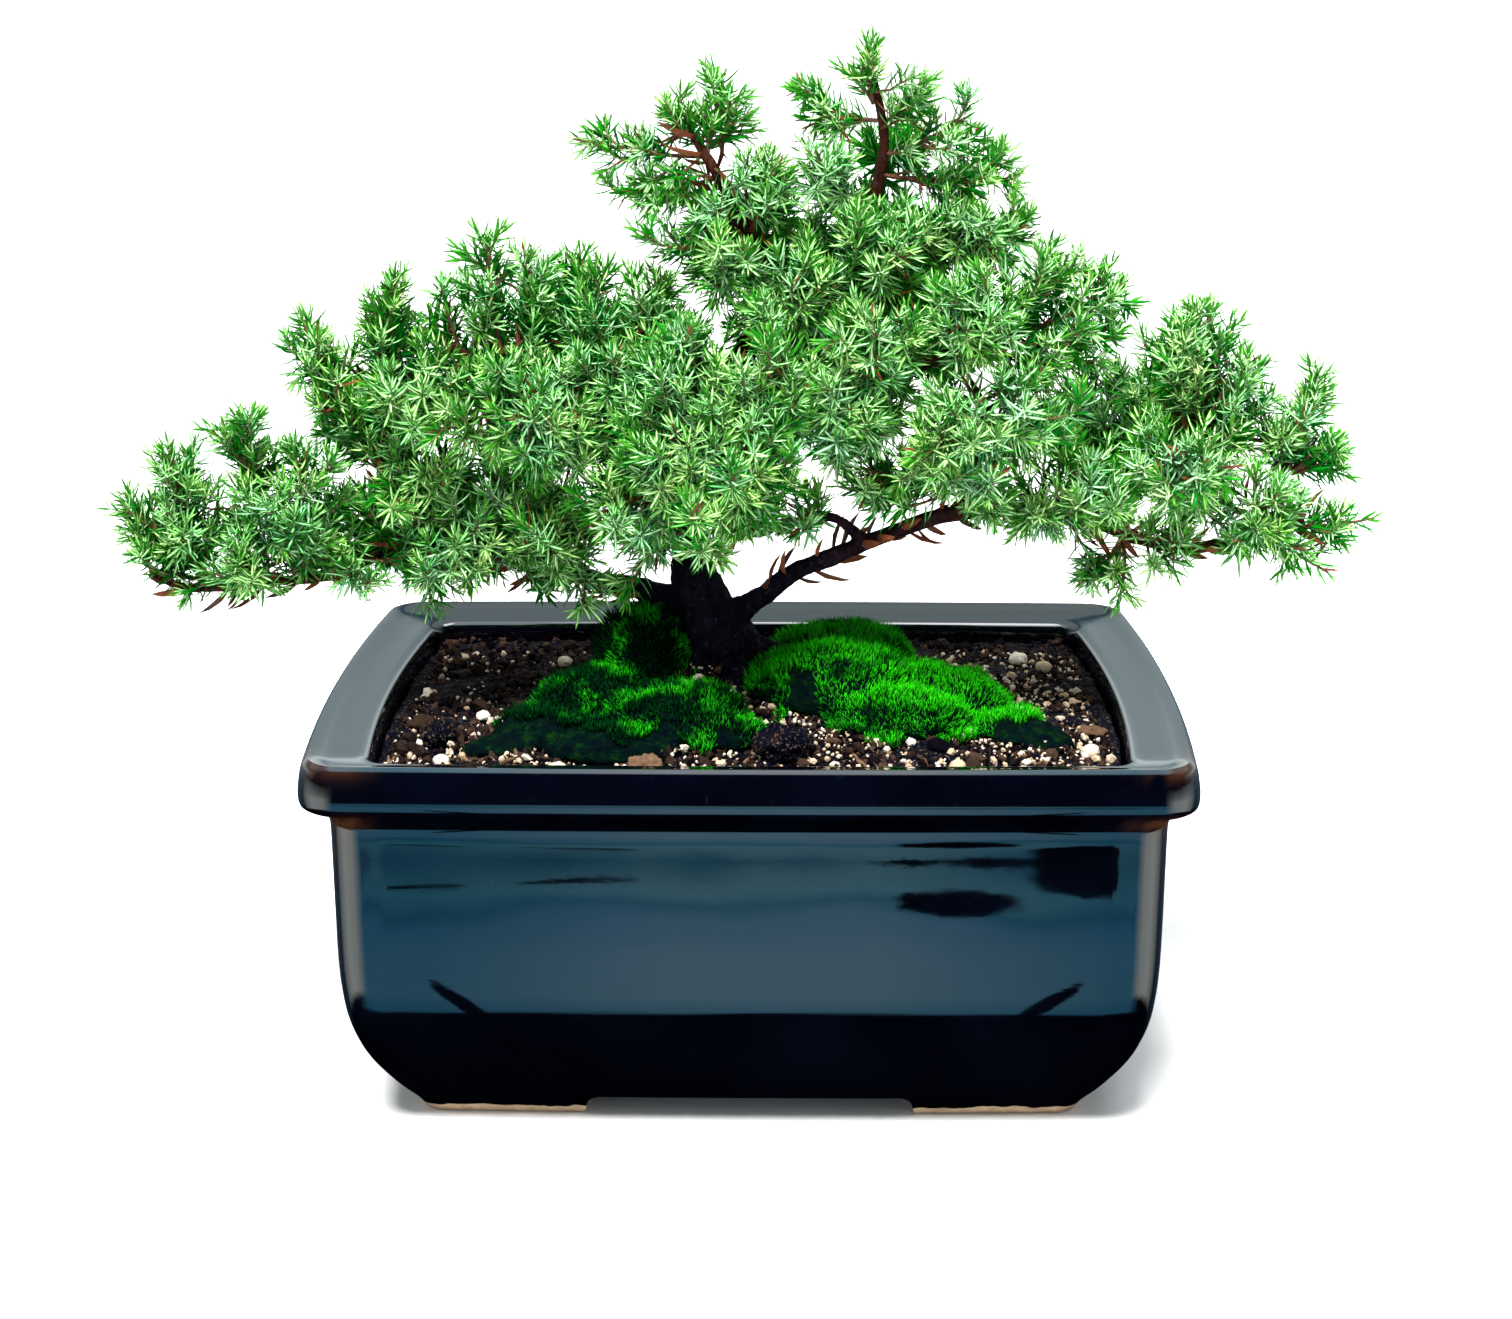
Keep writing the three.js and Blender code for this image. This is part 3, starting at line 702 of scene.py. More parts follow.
def build_pot():
    """The pot as one skin through its rings, with its foot arches and drain holes cut out."""
    profile = np.concatenate([rounded_line(POT_OUTSIDE, 2), rounded_line(POT_INSIDE, 2)])
    rings = []
    for inset, z, _ in profile:
        outline = plan_outline(inset)
        rings.append(np.column_stack([outline, np.full(len(outline), z)]))
    count = len(rings[0])
    points = np.concatenate([*rings, [[0, 0, FOOT_HEIGHT], [0, 0, POT_FLOOR_TOP]]])
    thin = np.concatenate([np.repeat(profile[:, 2], count), [0, 0]])
    pot = make_piece("glazed_pot_body", points, list(closed_skin(len(rings), count)), GLAZE)
    towards_side = np.clip((np.abs(points[:, 0]) - 84) / 9, 0, 1)
    towards_front = np.clip((np.abs(points[:, 1]) - 52) / 12, 0, 1)
    paint(pot, "thin_glaze", thin * towards_side * towards_front)
    cutters = [
        foot_arch("arch_front", FOOT_FRONT_GAP, False),
        foot_arch("arch_side", FOOT_SIDE_GAP, True),
        drain_cutter("drain_left", -DRAIN_X),
        drain_cutter("drain_right", DRAIN_X),
    ]
    for one in cutters:
        modifier = pot.modifiers.new(one.name, "BOOLEAN")
        modifier.object = one
        modifier.solver = "EXACT"
    apply_modifiers(pot)
    for one in cutters:
        bpy.data.objects.remove(one)
    pot.data.set_sharp_from_angle(angle=math.radians(38))
    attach(pot, "root")
    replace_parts(pot, "glazed_pot")


build_pot()
for node in ("drain_screen_left", "drain_screen_right"):
    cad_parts[node].data.materials.clear()
    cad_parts[node].data.materials.append(SCREEN)


# ---------------------------------------------------------------- soil
def bell(x, y, centre_x, centre_y, spread_x, spread_y):
    """A smooth rise to one at a centre."""
    return np.exp(-(((x - centre_x) / spread_x) ** 2) - ((y - centre_y) / spread_y) ** 2)


def soil_top(x, y):
    """The height of the settled soil."""
    mound = 13 * bell(x, y, -12, -2, 26, 26) + 8 * bell(x, y, 24, 0, 34, 28)
    front = 4 * bell(x, y, 20, -38, 60, 16)
    ripple = 0.7 * np.sin(x * 0.16 + 1) * np.cos(y * 0.2)
    return SOIL_LEVEL + mound + front + ripple


def build_soil():
    """The settled potting mix, with a fine relief on top."""
    soil = refined("potting_soil", "potting_soil_mix", SOIL, 1.3, 6)
    points, normals = mesh_points(soil)
    upward = np.clip(normals[:, 2] * 1.5, 0, 1) * (points[:, 2] > SOIL_LEVEL - 6)
    relief = layered_noise(points, 5, 11) * 0.8 + np.abs(noise(points, 2.6, 17)) * 0.9
    points[:, 2] += upward * (relief - 0.35)
    move_points(soil, points)


def ball(detail):
    """A unit ball's points and triangles."""
    mesh = bpy.data.meshes.new("ball")
    shape = bmesh.new()
    bmesh.ops.create_icosphere(shape, subdivisions=detail, radius=1)
    shape.to_mesh(mesh)
    shape.free()
    points = np.array([v.co for v in mesh.vertices], float)
    faces = np.array([list(p.vertices) for p in mesh.polygons])
    bpy.data.meshes.remove(mesh)
    return points, faces


def random_turns(rng, count):
    """That many random rotation matrices."""
    spin = unit(rng.normal(size=(count, 4)))
    w, x, y, z = spin.T
    return np.stack(
        [
            np.stack([1 - 2 * (y * y + z * z), 2 * (x * y - z * w), 2 * (x * z + y * w)], axis=1),
            np.stack([2 * (x * y + z * w), 1 - 2 * (x * x + z * z), 2 * (y * z - x * w)], axis=1),
            np.stack([2 * (x * z - y * w), 2 * (y * z + x * w), 1 - 2 * (x * x + y * y)], axis=1),
        ],
        axis=1,
    )


def scatter_grains(name, places, radii, shape, detail, lumps, material, seed, sink=0.25):
    """One piece of many loose grains. shape is a grain's stretch along its axes, lumps how uneven it is."""
    rng = np.random.default_rng(seed)
    points, faces = ball(detail)
    count = len(places)
    turns = random_turns(rng, count)
    stretch = np.array(shape) * rng.uniform(0.75, 1.25, (count, 3))
    one = points[None] * (1 + lumps * rng.uniform(-1, 1, (count, len(points), 1)))
    one = one * stretch[:, None] * radii[:, None, None]
    one = np.einsum("nij,nkj->nki", turns, one)
    height = soil_top(places[:, 0], places[:, 1]) + radii * (0.55 - sink)
    middle = np.column_stack([places, height])
    all_points = (one + middle[:, None]).reshape(-1, 3)
    all_faces = (faces[None] + (np.arange(count) * len(points))[:, None, None]).reshape(-1, 3)
    piece = make_piece(name, all_points, all_faces, material, smooth=detail > 1)
    paint(piece, "tone", np.repeat(rng.uniform(0, 1, count) ** 1.6, len(points)))
    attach(piece, "root")


def soil_places(rng, count):
    """Random places on the soil inside the pot's wall."""
    x = rng.uniform(-1, 1, count) * (POT_WIDTH / 2 - INNER_WALL_INSET - 1)
    y = rng.uniform(-1, 1, count) * (POT_DEPTH / 2 - INNER_WALL_INSET - 1)
    return np.column_stack([x, y])


def kept_places(rng, count, share):
    """Random places on the soil, thinned to the share that is kept at each one."""
    places = soil_places(rng, count)
    return places[rng.uniform(0, 1, count) < share(places[:, 0], places[:, 1])]


def out_of_shade(x, y):
    """Fewer grains near the trunk, which leaves the soil there dark and bare: painted shade around the
    trunk's foot.
    """
    return 1 - 0.9 * bell(x, y, -5, 10, 26, 26)


def grit_share_and_painted_shade(x, y):
    """Pale grit lies mostly at the right and the front. Fewer grains towards the back, and none behind y =
    48, is painted shade: a dark band under the rear rim.
    """
    return np.clip(0.6 + x / 130 - y / 90, 0.25, 1) * out_of_shade(x, y) * (y < 48)


def chip_share_and_painted_shade(x, y):
    """Bark bits lie mostly at the front. Fewer towards the back, and none behind y = 50, is painted shade
    under the rear rim.
    """
    return np.clip(0.75 + x / 200 - y / 60, 0.1, 1) * out_of_shade(x, y) * (y < 50)


def build_loose_soil():
    """Three pieces of loose grains: soil crumbs, perlite grit and bark bits."""
    rng = np.random.default_rng(5)
    places = soil_places(rng, CRUMB_PLACES)
    radii = rng.gamma(2.6, 0.2, len(places)) + 0.15
    scatter_grains("soil_crumbs", places, radii, (1, 0.85, 0.7), 1, 0.28, CRUMB, 6)
    # Pale grit and bark bits are thinned near the trunk and at the back: painted shade.
    places = kept_places(rng, GRIT_PLACES, grit_share_and_painted_shade)
    radii = rng.gamma(1.5, 0.19, len(places)) + 0.17
    scatter_grains("perlite_grit", places, radii, (1, 0.9, 0.8), 1, 0.2, PERLITE, 7, -0.1)
    places = kept_places(rng, CHIP_PLACES, chip_share_and_painted_shade)
    radii = rng.gamma(2.2, 0.15, len(places)) + 0.2
    scatter_grains("bark_bits", places, radii, (1.9, 0.7, 0.35), 1, 0.22, CHIP, 8, -0.05)


def build_grain(node, material, seed, lump):
    """A finely pitted piece that stands for one of the larger loose grains."""
    piece = refined(node, node + "_rough", material, 0.35, 3)
    points, normals = mesh_points(piece)
    points += normals * (layered_noise(points, 1.6, seed) * lump)[:, None]
    move_points(piece, points)
    paint(piece, "tone", np.full(len(points), (seed * 0.37) % 1))


# Name, how many there are, material, slot, first seed and depth of the pits.
LARGE_GRAINS = [
    ("perlite_grain", 8, PERLITE, "perlite", 1, 0.25),
    ("bark_chip", 4, CHIP, "chip", 21, 0.75),
    ("soil_clod", 2, SOIL, "soil", 41, 0.8),
]

build_soil()
build_loose_soil()
for kind, count, material, slot, first_seed, lump in LARGE_GRAINS:
    for i in range(count):
        build_grain(f"{kind}_{i + 1}", material, first_seed + i, lump)


# ---------------------------------------------------------------- moss
MOSS_STEM_WIDTH = 0.16
MOSS_STEMS = 3  # stems on each square millimetre
# A stem's two rings of three points, then its tip.
MOSS_STEM_WALL = [[0, 1, 4], [0, 4, 3], [1, 2, 5], [1, 5, 4], [2, 0, 3], [2, 3, 5]]
MOSS_STEM_ENDS = [[3, 4, 6], [4, 5, 6], [5, 3, 6], [2, 1, 0]]
MOSS_STEM_FACES = np.array(MOSS_STEM_WALL + MOSS_STEM_ENDS)
# Centre x and y, spread along x and y.
MOSS_PATCHES = [[-12, -38, 14, 14], [-32, -32, 26, 17], [34, -30, 30, 17], [-30, 2, 18, 24]]
# x and y along the front edge of the moss, with a bare notch right of the middle. The dark bare ground in
# front of this edge is painted shade under the moss.
MOSS_FRONT = [
    [-60, -30], [-44, -41], [-30, -45], [-16, -47], [2, -47], [8, -40], [10, -24], [15, -26], [20, -44],
    [28, -49], [45, -46], [60, -40], [72, -30],
]


def behind_moss_front(x, y):
    """True where moss can stand: behind its uneven front edge. In front of it the dark ground is left bare,
    as painted shade under the moss's edge.
    """
    edge_x, edge_y = np.array(MOSS_FRONT).T
    flat = np.column_stack([x, y, np.zeros(len(x))])
    return y > np.interp(x, edge_x, edge_y) + 5 * layered_noise(flat, 6, 71)


def build_moss(node, seed):
    """A lumpy cushion covered with fine upright stems."""
    ground = refined(node, node + "_ground", MOSS_GROUND_AND_SHADE, 0.9, 5)
    points, normals = mesh_points(ground)
    points += normals * layered_noise(points, 7, seed)[:, None]
    move_points(ground, points)
    rng = np.random.default_rng(seed)
    points, _ = mesh_points(ground)
    corner, cross, area = triangle_measures(points, triangles_of(ground))
    middle = corner.mean(axis=1)
    facing = cross[:, 2] / np.maximum(2 * area, 1e-9)
    weight = area * ((facing > 0.05) & (middle[:, 2] > soil_top(middle[:, 0], middle[:, 1]) - 1))
    root, outward = scattered_on(corner, cross, weight, int(weight.sum() * MOSS_STEMS), rng)
    heading = outward + np.array([0, 0, 0.55])
    standing = behind_moss_front(root[:, 0], root[:, 1])
    moss_stems(node + "_stems", root[standing], heading[standing], rng, seed)


def moss_stems(name, root, heading, rng, seed):
    """One piece of fine tapering moss stems that stand at the given roots."""
    count = len(root)
    lean = unit(heading + rng.normal(0, 0.33, (count, 3)))
    clump = 1 + 0.4 * noise(root, 5, seed + 3)
    length = rng.uniform(1.4, 3.2, count) * clump
    side = unit(np.cross(lean, rng.normal(size=(count, 3))))
    other = np.cross(lean, side)
    foot = root - lean * 0.4
    bend = side * (length * 0.22 * rng.uniform(-1, 1, count))[:, None]
    ring = [side, blend(-side, other, 0.5) - side * 0.1, blend(-side, -other, 0.5) - side * 0.1]
    low = [foot + spoke * MOSS_STEM_WIDTH for spoke in ring]
    waist = root + lean * (length * 0.55)[:, None] + bend * 0.4
    middle = [waist + spoke * MOSS_STEM_WIDTH * 0.8 for spoke in ring]
    tip = root + lean * length[:, None] + bend
    stem = np.stack([*low, *middle, tip], axis=1)
    faces = (MOSS_STEM_FACES[None] + (np.arange(count) * 7)[:, None, None]).reshape(-1, 3)
    stems = make_piece(name, stem.reshape(-1, 3), faces, MOSS)
    paint(stems, "along", np.tile([0, 0, 0, 0.6, 0.6, 0.6, 1], count))
    paint(stems, "tone", np.repeat(rng.uniform(0, 1, count), 7))
    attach(stems, "root")


def build_moss_fringe():
    """Thin moss that has crept over the soil around and between the cushions."""
    rng = np.random.default_rng(61)
    count = FRINGE_PLACES
    x = rng.uniform(-62, 72, count)
    y = rng.uniform(-60, 40, count)
    closeness = np.zeros(count)
    for centre_x, centre_y, spread_x, spread_y in MOSS_PATCHES:
        closeness = np.maximum(closeness, bell(x, y, centre_x, centre_y, spread_x, spread_y))
    flat = np.column_stack([x, y, np.zeros(count)])
    ragged = closeness + 0.35 * layered_noise(flat, 8, 71)
    kept = rng.uniform(0, 1, count) < np.clip((ragged - 0.45) * 4, 0, 1)
    kept &= behind_moss_front(x, y)
    x, y = x[kept], y[kept]
    root = np.column_stack([x, y, soil_top(x, y) + 0.5])
    moss_stems("moss_fringe_stems", root, np.tile([0.0, -0.15, 1.0], (len(x), 1)), rng, 61)


build_moss_fringe()
for seed, place in enumerate(("left", "centre", "right", "right_tail"), 31):
    build_moss("moss_cushion_" + place, seed)


# ---------------------------------------------------------------- wood
# The tree's routes, as [x, y, z, radius] points.
WOOD_ROUTES = {
    "trunk": [
        [-5, -2, 72, 9], [-6, -2, 92, 11.5], [-8, -2, 103, 9.5], [-11, -2, 112, 7.4], [-15, -1, 122, 5.6],
        [-16, 0, 134, 4.6], [-14, 1, 148, 4.1], [-8, 3, 163, 3.6], [0, 5, 178, 3.1], [12, 8, 189, 2.3],
        [24, 12, 199, 1.9], [30, 14, 212, 1.6], [32, 12, 226, 1.3], [29, 10, 240, 0.9],
    ],
    "left_leader": [
        [3, 6, 183, 2.1], [3, 5, 194, 1.8], [-2, 5, 206, 1.5], [-8, 3, 217, 1.3], [-14, 5, 227, 0.9],
    ],
    "left_bough": [
        [-11, -1, 110, 4.2], [-27, 2, 116, 2.9], [-40, 2, 119, 2.4], [-57, 0, 123, 2.1],
        [-77, -5, 128, 1.9], [-90, -6, 127, 1.7], [-104, -8, 122, 1.5], [-122, -10, 120, 1.2],
        [-138, -11, 119, 0.9], [-147, -11, 123, 0.6],
    ],
    "left_riser": [[-89, -6, 127, 1.6], [-90, -5, 140, 1.4], [-89, -3, 155, 1.3], [-92, -2, 170, 1]],
    "left_upper_bough": [[-15, 1, 142, 3], [-34, -6, 156, 2.4], [-55, -8, 168, 1.9], [-74, -4, 178, 1.3]],
    "left_back_bough": [[-14, 2, 146, 2.8], [-30, 20, 154, 2.2], [-48, 34, 161, 1.6]],
    "front_bough": [[-15, 0, 138, 2.8], [-16, -18, 148, 2.2], [-12, -32, 156, 1.5]],
    "right_bough": [
        [-7, -2, 108, 4], [1, -8, 116, 2.6], [13, -12, 125, 2.3], [27, -14, 131.5, 2.1],
        [44, -14, 137.5, 1.9], [62, -12, 140, 1.8], [82, -10, 136, 1.7], [104, -8, 129, 1.6],
        [122, -8, 133, 1.3], [134, -8, 136, 1],
    ],
    "right_twig": [[27, -14, 132.5, 1.5], [19, -15, 138, 1.1], [6, -16, 136, 1], [-6, -18, 133, 0.9]],
    "right_riser": [[50, -14, 138.5, 1.8], [54, -17, 152, 1.5], [56, -16, 166, 1.2]],
    "right_outer_riser": [[102, -8, 129, 1.7], [106, -5, 148, 1.4], [107, -2, 168, 1]],
    "right_end_riser": [[121, -8, 133, 1.4], [128, -5, 146, 1.2], [134, -3, 156, 0.9]],
    "right_upper_bough": [[-9, 3, 160, 2.8], [14, -4, 168, 2.2], [38, -10, 174, 1.8], [62, -8, 181, 1.3]],
    "right_back_bough": [[-7, 3, 163, 2.8], [18, 22, 168, 2.1], [42, 35, 174, 1.5]],
    "right_low_back_bough": [[80, -10, 136, 1.7], [92, 6, 144, 1.4], [100, 22, 152, 1]],
    "root_front": [[-6, -4, 101, 5], [-3, -18, 95, 3.6], [-1, -30, 86, 2]],
    "root_right": [[-2, -1, 101, 5], [12, 3, 95, 3.6], [25, 6, 86, 2]],
    "root_left": [[-10, 0, 102, 5], [-24, -3, 96, 3.4], [-36, -6, 86, 2]],
    "root_back": [[-6, 4, 101, 5], [-12, 17, 95, 3.4], [-14, 29, 86, 2]],
}


def bend_through(a, b, c, d, t):
    """The place at share t between b and c on a smooth curve through a, b, c and d."""
    return 0.5 * (2 * b + (c - a) * t + (2 * a - 5 * b + 4 * c - d) * t**2 + (3 * b - a - 3 * c + d) * t**3)


def smooth_route(route, step):
    """A route's rows, rounded through its points and spaced step apart."""
    rows = np.array(route, float)
    padded = np.concatenate([[2 * rows[0] - rows[1]], rows, [2 * rows[-1] - rows[-2]]])
    fine = []
    for i in range(len(rows) - 1):
        a, b, c, d = padded[i : i + 4]
        count = max(2, int(np.linalg.norm((c - b)[:3]) / step))
        for t in np.arange(count) / count:
            fine.append(bend_through(a, b, c, d, t))
    fine.append(rows[-1])
    return np.array(fine)


def frames_along(points):
    """Tangents and two cross directions that turn as little as they can along a line."""
    tangents = unit(np.gradient(points, axis=0))
    start = np.array([0.0, 0.0, 1.0]) if abs(tangents[0][2]) < 0.9 else np.array([1.0, 0.0, 0.0])
    across = unit(np.cross(tangents[0], start))
    sides = []
    for tangent in tangents:
        across = unit(across - tangent * np.dot(across, tangent))
        sides.append(across)
    sides = np.array(sides)
    return tangents, sides, np.cross(tangents, sides)


def tube(points, radii, sides):
    """A closed tube's points, quads and end triangles. radii is one row of numbers per ring."""
    tangents, across, other = frames_along(points)
    turn = np.arange(sides) / sides * 2 * math.pi
    spokes = across[:, None] * np.cos(turn)[None, :, None] + other[:, None] * np.sin(turn)[None, :, None]
    wall = points[:, None] + spokes * radii[:, :, None]
    first = points[0] - tangents[0] * radii[0].mean() * 0.6
    last = points[-1] + tangents[-1] * radii[-1].mean() * 0.6
    return np.concatenate([wall.reshape(-1, 3), [first, last]]), *closed_skin(len(points), sides)


def noise_along(length, far, size, seed):
    """Noise along a line, one number for each length. far picks one of many such lines."""
    return noise(np.column_stack([length, np.full(len(length), far), np.zeros(len(length))]), size, seed)


def ridged_tube(route, seed):
    """A branch with long bark ridges and knots."""
    step = 0.8
    rows = smooth_route(route, step)
    ring = rows[:, 3:4]
    length = np.arange(len(rows)) * step
    rng = np.random.default_rng(seed)
    wander = np.stack([noise_along(length, k * 50.0, 9, seed + k) for k in range(3)], axis=1)
    points = rows[:, :3] + wander * np.minimum(ring * 0.22, 0.7)
    sides = 22 if rows[0, 3] > 2.9 else 14
    grid_turn, grid_length = np.meshgrid(np.arange(sides) / sides * 2 * math.pi, length)
    start = rng.uniform(0, 99)
    probe = [np.cos(grid_turn) * ring, np.sin(grid_turn) * ring, grid_length * 0.35 + start]
    probe = np.stack(probe, axis=-1)
    ridge = layered_noise(probe.reshape(-1, 3), 2.6, seed + 9).reshape(grid_turn.shape)
    knot = noise_along(length, 3.0, 6, seed + 21)
    radii = ring * (1 + 0.13 * ridge + 0.1 * knot[:, None])
    return tube(points, radii, sides)


def build_wood():
    """Trunk, boughs and roots as one grown skin of flaking bark."""
    branches = [ridged_tube(route, 100 + seed * 7) for seed, route in enumerate(WOOD_ROUTES.values())]
    points, quads, fans = joined(branches)
    wood = make_piece("trunk_and_boughs", points, [quads, fans], BARK)
    remesh(wood, 0.55)
    places, normals = mesh_points(wood)
    flake = layered_noise(places * np.array([1, 1, 0.6]), 2.2, 77)
    near_foot = np.clip((150 - places[:, 2]) / 50, 0, 1) * np.clip(1.4 - np.abs(places[:, 0] + 10) / 30, 0, 1)
    places += normals * (flake * blend(0.12, 0.55, near_foot))[:, None]
    move_points(wood, places)
    distance = np.linalg.norm(places - np.array([-8, -2, 100]), axis=1)
    paint(wood, "outward", np.clip((distance - 30) / 75, 0, 1))
    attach(wood, "root")
    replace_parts(wood, "trunk_and_branches")


build_wood()


# ---------------------------------------------------------------- foliage
# Each shoot is base x, y, z, tip x, y, z, and how far its needles and side shoots stand out.
BOUGHS = {
    "bough_left_tip": [
        [-132, -11, 120, -153, -10, 143, 13], [-134, -12, 122, -140, -12, 157, 14],
        [-128, -11, 121, -148, -14, 124, 10],
    ],
    "bough_left_outer": [
        [-118, -10, 121, -123, -9, 165, 14], [-112, -9, 122, -106, -15, 157, 19],
        [-122, -10, 121, -120, -26, 134, 12],
    ],
    "bough_left_riser": [[-90, -4, 146, -110, 0, 186, 13], [-92, -2, 150, -98, 14, 168, 16]],
    "bough_left_riser_top": [[-89, -3, 156, -86, 0, 195, 13], [-86, -4, 160, -72, -18, 178, 17]],
    "bough_left_low": [
        [-62, -3, 126, -56, -17, 132, 11], [-96, -7, 126, -100, -20, 131, 11],
        [-78, -5, 128, -80, -22, 122, 12], [-74, -5, 128, -64, -22, 138, 16],
    ],
    "bough_left_low_back": [[-84, -5, 129, -94, 18, 136, 18], [-66, -3, 127, -66, 22, 138, 19]],
    "bough_left_inner": [
        [-45, 1, 121, -38, -15, 121, 9], [-56, 0, 124, -54, 18, 140, 15], [-72, -4, 128, -80, -14, 158, 18],
        [-58, -2, 124, -62, -8, 152, 19], [-50, 1, 124, -46, -20, 138, 15],
    ],
    "bough_left_upper_tip": [
        [-60, -7, 176, -64, 0, 206, 12], [-56, -7, 178, -52, 0, 203, 12], [-68, -5, 174, -84, 4, 184, 13],
    ],
    "bough_left_upper_front": [[-46, -8, 163, -56, -34, 166, 21], [-58, -8, 168, -70, -26, 160, 17]],
    "bough_left_upper": [
        [-50, -7, 164, -58, 4, 186, 18], [-42, -6, 160, -43, 8, 198, 20], [-36, -6, 158, -30, -24, 180, 19],
        [-30, -4, 172, -22, -4, 196, 13],
    ],
    "bough_left_back_tip": [[-42, 30, 160, -66, 46, 166, 19], [-46, 34, 161, -46, 50, 182, 19]],
    "bough_left_back": [[-28, 18, 154, -28, 38, 150, 19], [-26, 16, 154, -24, 34, 182, 19]],
    "bough_front": [[-14, -26, 153, -18, -46, 168, 21], [-15, -20, 150, -16, -30, 188, 22]],
    "bough_front_right": [[-12, -28, 154, 6, -48, 156, 19], [-10, -24, 154, 8, -34, 180, 21]],
    "bough_front_low": [
        [-8, -12, 141, 4, -28, 144, 12], [-17, -7, 133, -28, -24, 131, 9],
        [-18, -16, 146, -38, -34, 142, 17], [-20, -8, 141, -30, -17, 122, 10],
    ],
    "bough_low_twig": [[10, -16, 138, 0, -21, 140, 8], [18, -15, 137, 4, -26, 142, 11]],
    "bough_crown_left_tip": [
        [-12, 4, 222, -46, 10, 226, 9], [-8, 4, 217, -35, 8, 213, 10], [-12, 4, 223, -23, 10, 236, 9],
    ],
    "bough_crown_left": [
        [-11, 4, 221, -6, 10, 241, 11], [-4, 5, 209, 9, 0, 222, 14], [-2, 5, 207, -20, 2, 214, 11],
    ],
    "bough_crown_left_low": [
        [1, 5, 200, -22, -2, 202, 12], [0, 5, 196, -12, -16, 202, 14], [2, 7, 198, -8, 26, 204, 15],
    ],
    "bough_apex": [
        [29, 10, 234, 25, 10, 249, 10], [30, 10, 230, 10, 8, 236, 9], [31, 11, 228, 43, 10, 242, 10],
    ],
    "bough_crown_right": [
        [32, 12, 222, 54, 10, 232, 11], [31, 13, 217, 66, 10, 221, 11], [32, 13, 220, 38, 34, 226, 13],
    ],
    "bough_crown_right_low": [[27, 12, 204, 69, 4, 206, 17], [26, 12, 206, 14, -4, 226, 11]],
    "bough_crown_back": [[14, 9, 191, 12, 30, 198, 18], [22, 12, 198, 44, 34, 198, 18]],
    "bough_crown_front": [[8, 6, 186, 10, -20, 196, 19], [18, 8, 194, 40, -14, 202, 18]],
    "bough_right_upper": [[14, -4, 168, 24, -38, 168, 19], [26, -7, 171, 30, -26, 190, 19]],
    "bough_right_upper_tip": [
        [58, -8, 180, 78, 0, 200, 17], [54, -9, 178, 92, 0, 194, 15], [60, -8, 180, 90, -5, 181, 13],
        [58, -8, 178, 74, -18, 176, 14], [50, -9, 177, 56, -24, 196, 18],
    ],
    "bough_right_riser": [
        [55, -17, 158, 42, -42, 162, 18], [56, -16, 162, 66, -34, 170, 18],
        [55, -16, 166, 48, -28, 176, 14], [52, -16, 146, 58, -30, 149, 13],
        [48, -15, 144, 22, -19, 152, 13],
    ],
    "bough_right_back": [
        [36, 32, 172, 60, 46, 182, 19], [26, 26, 170, 14, 46, 180, 19], [22, 24, 169, 34, 40, 152, 18],
    ],
    "bough_right_low": [
        [70, -11, 140, 66, -26, 146, 13], [96, -9, 131, 104, -20, 138, 12],
        [90, -10, 133, 83, -18, 121, 12], [90, -9, 133, 90, -16, 119, 12], [76, -10, 138, 84, -22, 156, 18],
    ],
    "bough_right_outer_riser": [
        [107, -3, 160, 105, 0, 190, 17], [106, -5, 150, 119, -2, 181, 18], [105, -6, 144, 98, -28, 158, 19],
    ],
    "bough_right_low_back": [
        [94, 10, 146, 90, 34, 152, 19], [98, 18, 150, 112, 30, 166, 18], [90, 2, 142, 82, 16, 170, 19],
    ],
    "bough_right_end_riser": [
        [130, -4, 150, 137, 0, 170, 13], [131, -5, 147, 145, -1, 156, 12], [128, -5, 148, 122, -8, 166, 13],
        [124, -7, 138, 118, -24, 144, 15],
    ],
    "bough_right_tip": [[128, -8, 135, 154, -8, 137, 9], [124, -8, 133, 143, -10, 122, 8]],
}

# One needle: its rings as (along, half width), then its tip. A ring goes left, groove, right and keel.
NEEDLE_RINGS = [(0.0, 0.32), (0.34, 0.5), (0.72, 0.36)]
NEEDLE_CORNERS = 4


def needle_faces():
    """The triangles of one needle: its wall, its pointed end and its closed foot."""
    faces = [[0, 2, 1], [0, 3, 2]]
    for ring in range(len(NEEDLE_RINGS) - 1):
        for corner in range(NEEDLE_CORNERS):
            here = ring * NEEDLE_CORNERS + corner
            after = ring * NEEDLE_CORNERS + (corner + 1) % NEEDLE_CORNERS
            faces.append([here, after, after + NEEDLE_CORNERS])
            faces.append([here, after + NEEDLE_CORNERS, here + NEEDLE_CORNERS])
    last = (len(NEEDLE_RINGS) - 1) * NEEDLE_CORNERS
    tip = len(NEEDLE_RINGS) * NEEDLE_CORNERS
    for corner in range(NEEDLE_CORNERS):
        faces.append([last + corner, last + (corner + 1) % NEEDLE_CORNERS, tip])
    return np.array(faces)


NEEDLE_FACES = needle_faces()
NEEDLE_POINTS = len(NEEDLE_RINGS) * NEEDLE_CORNERS + 1
NEEDLE_ALONG = np.array([along for along, _ in NEEDLE_RINGS for _ in range(NEEDLE_CORNERS)] + [1])
NEEDLE_PALE = np.array([0.05, 1.0, 0.05, 0.0] * len(NEEDLE_RINGS) + [0.1])


def curve_through(start, control, end, share):
    """Points and headings on a three-point curve at the given shares of it."""
    t = np.asarray(share, float)[:, None]
    place = start * (1 - t) ** 2 + control * 2 * t * (1 - t) + end * t**2
    return place, unit((control - start) * (1 - t) + (end - control) * t)


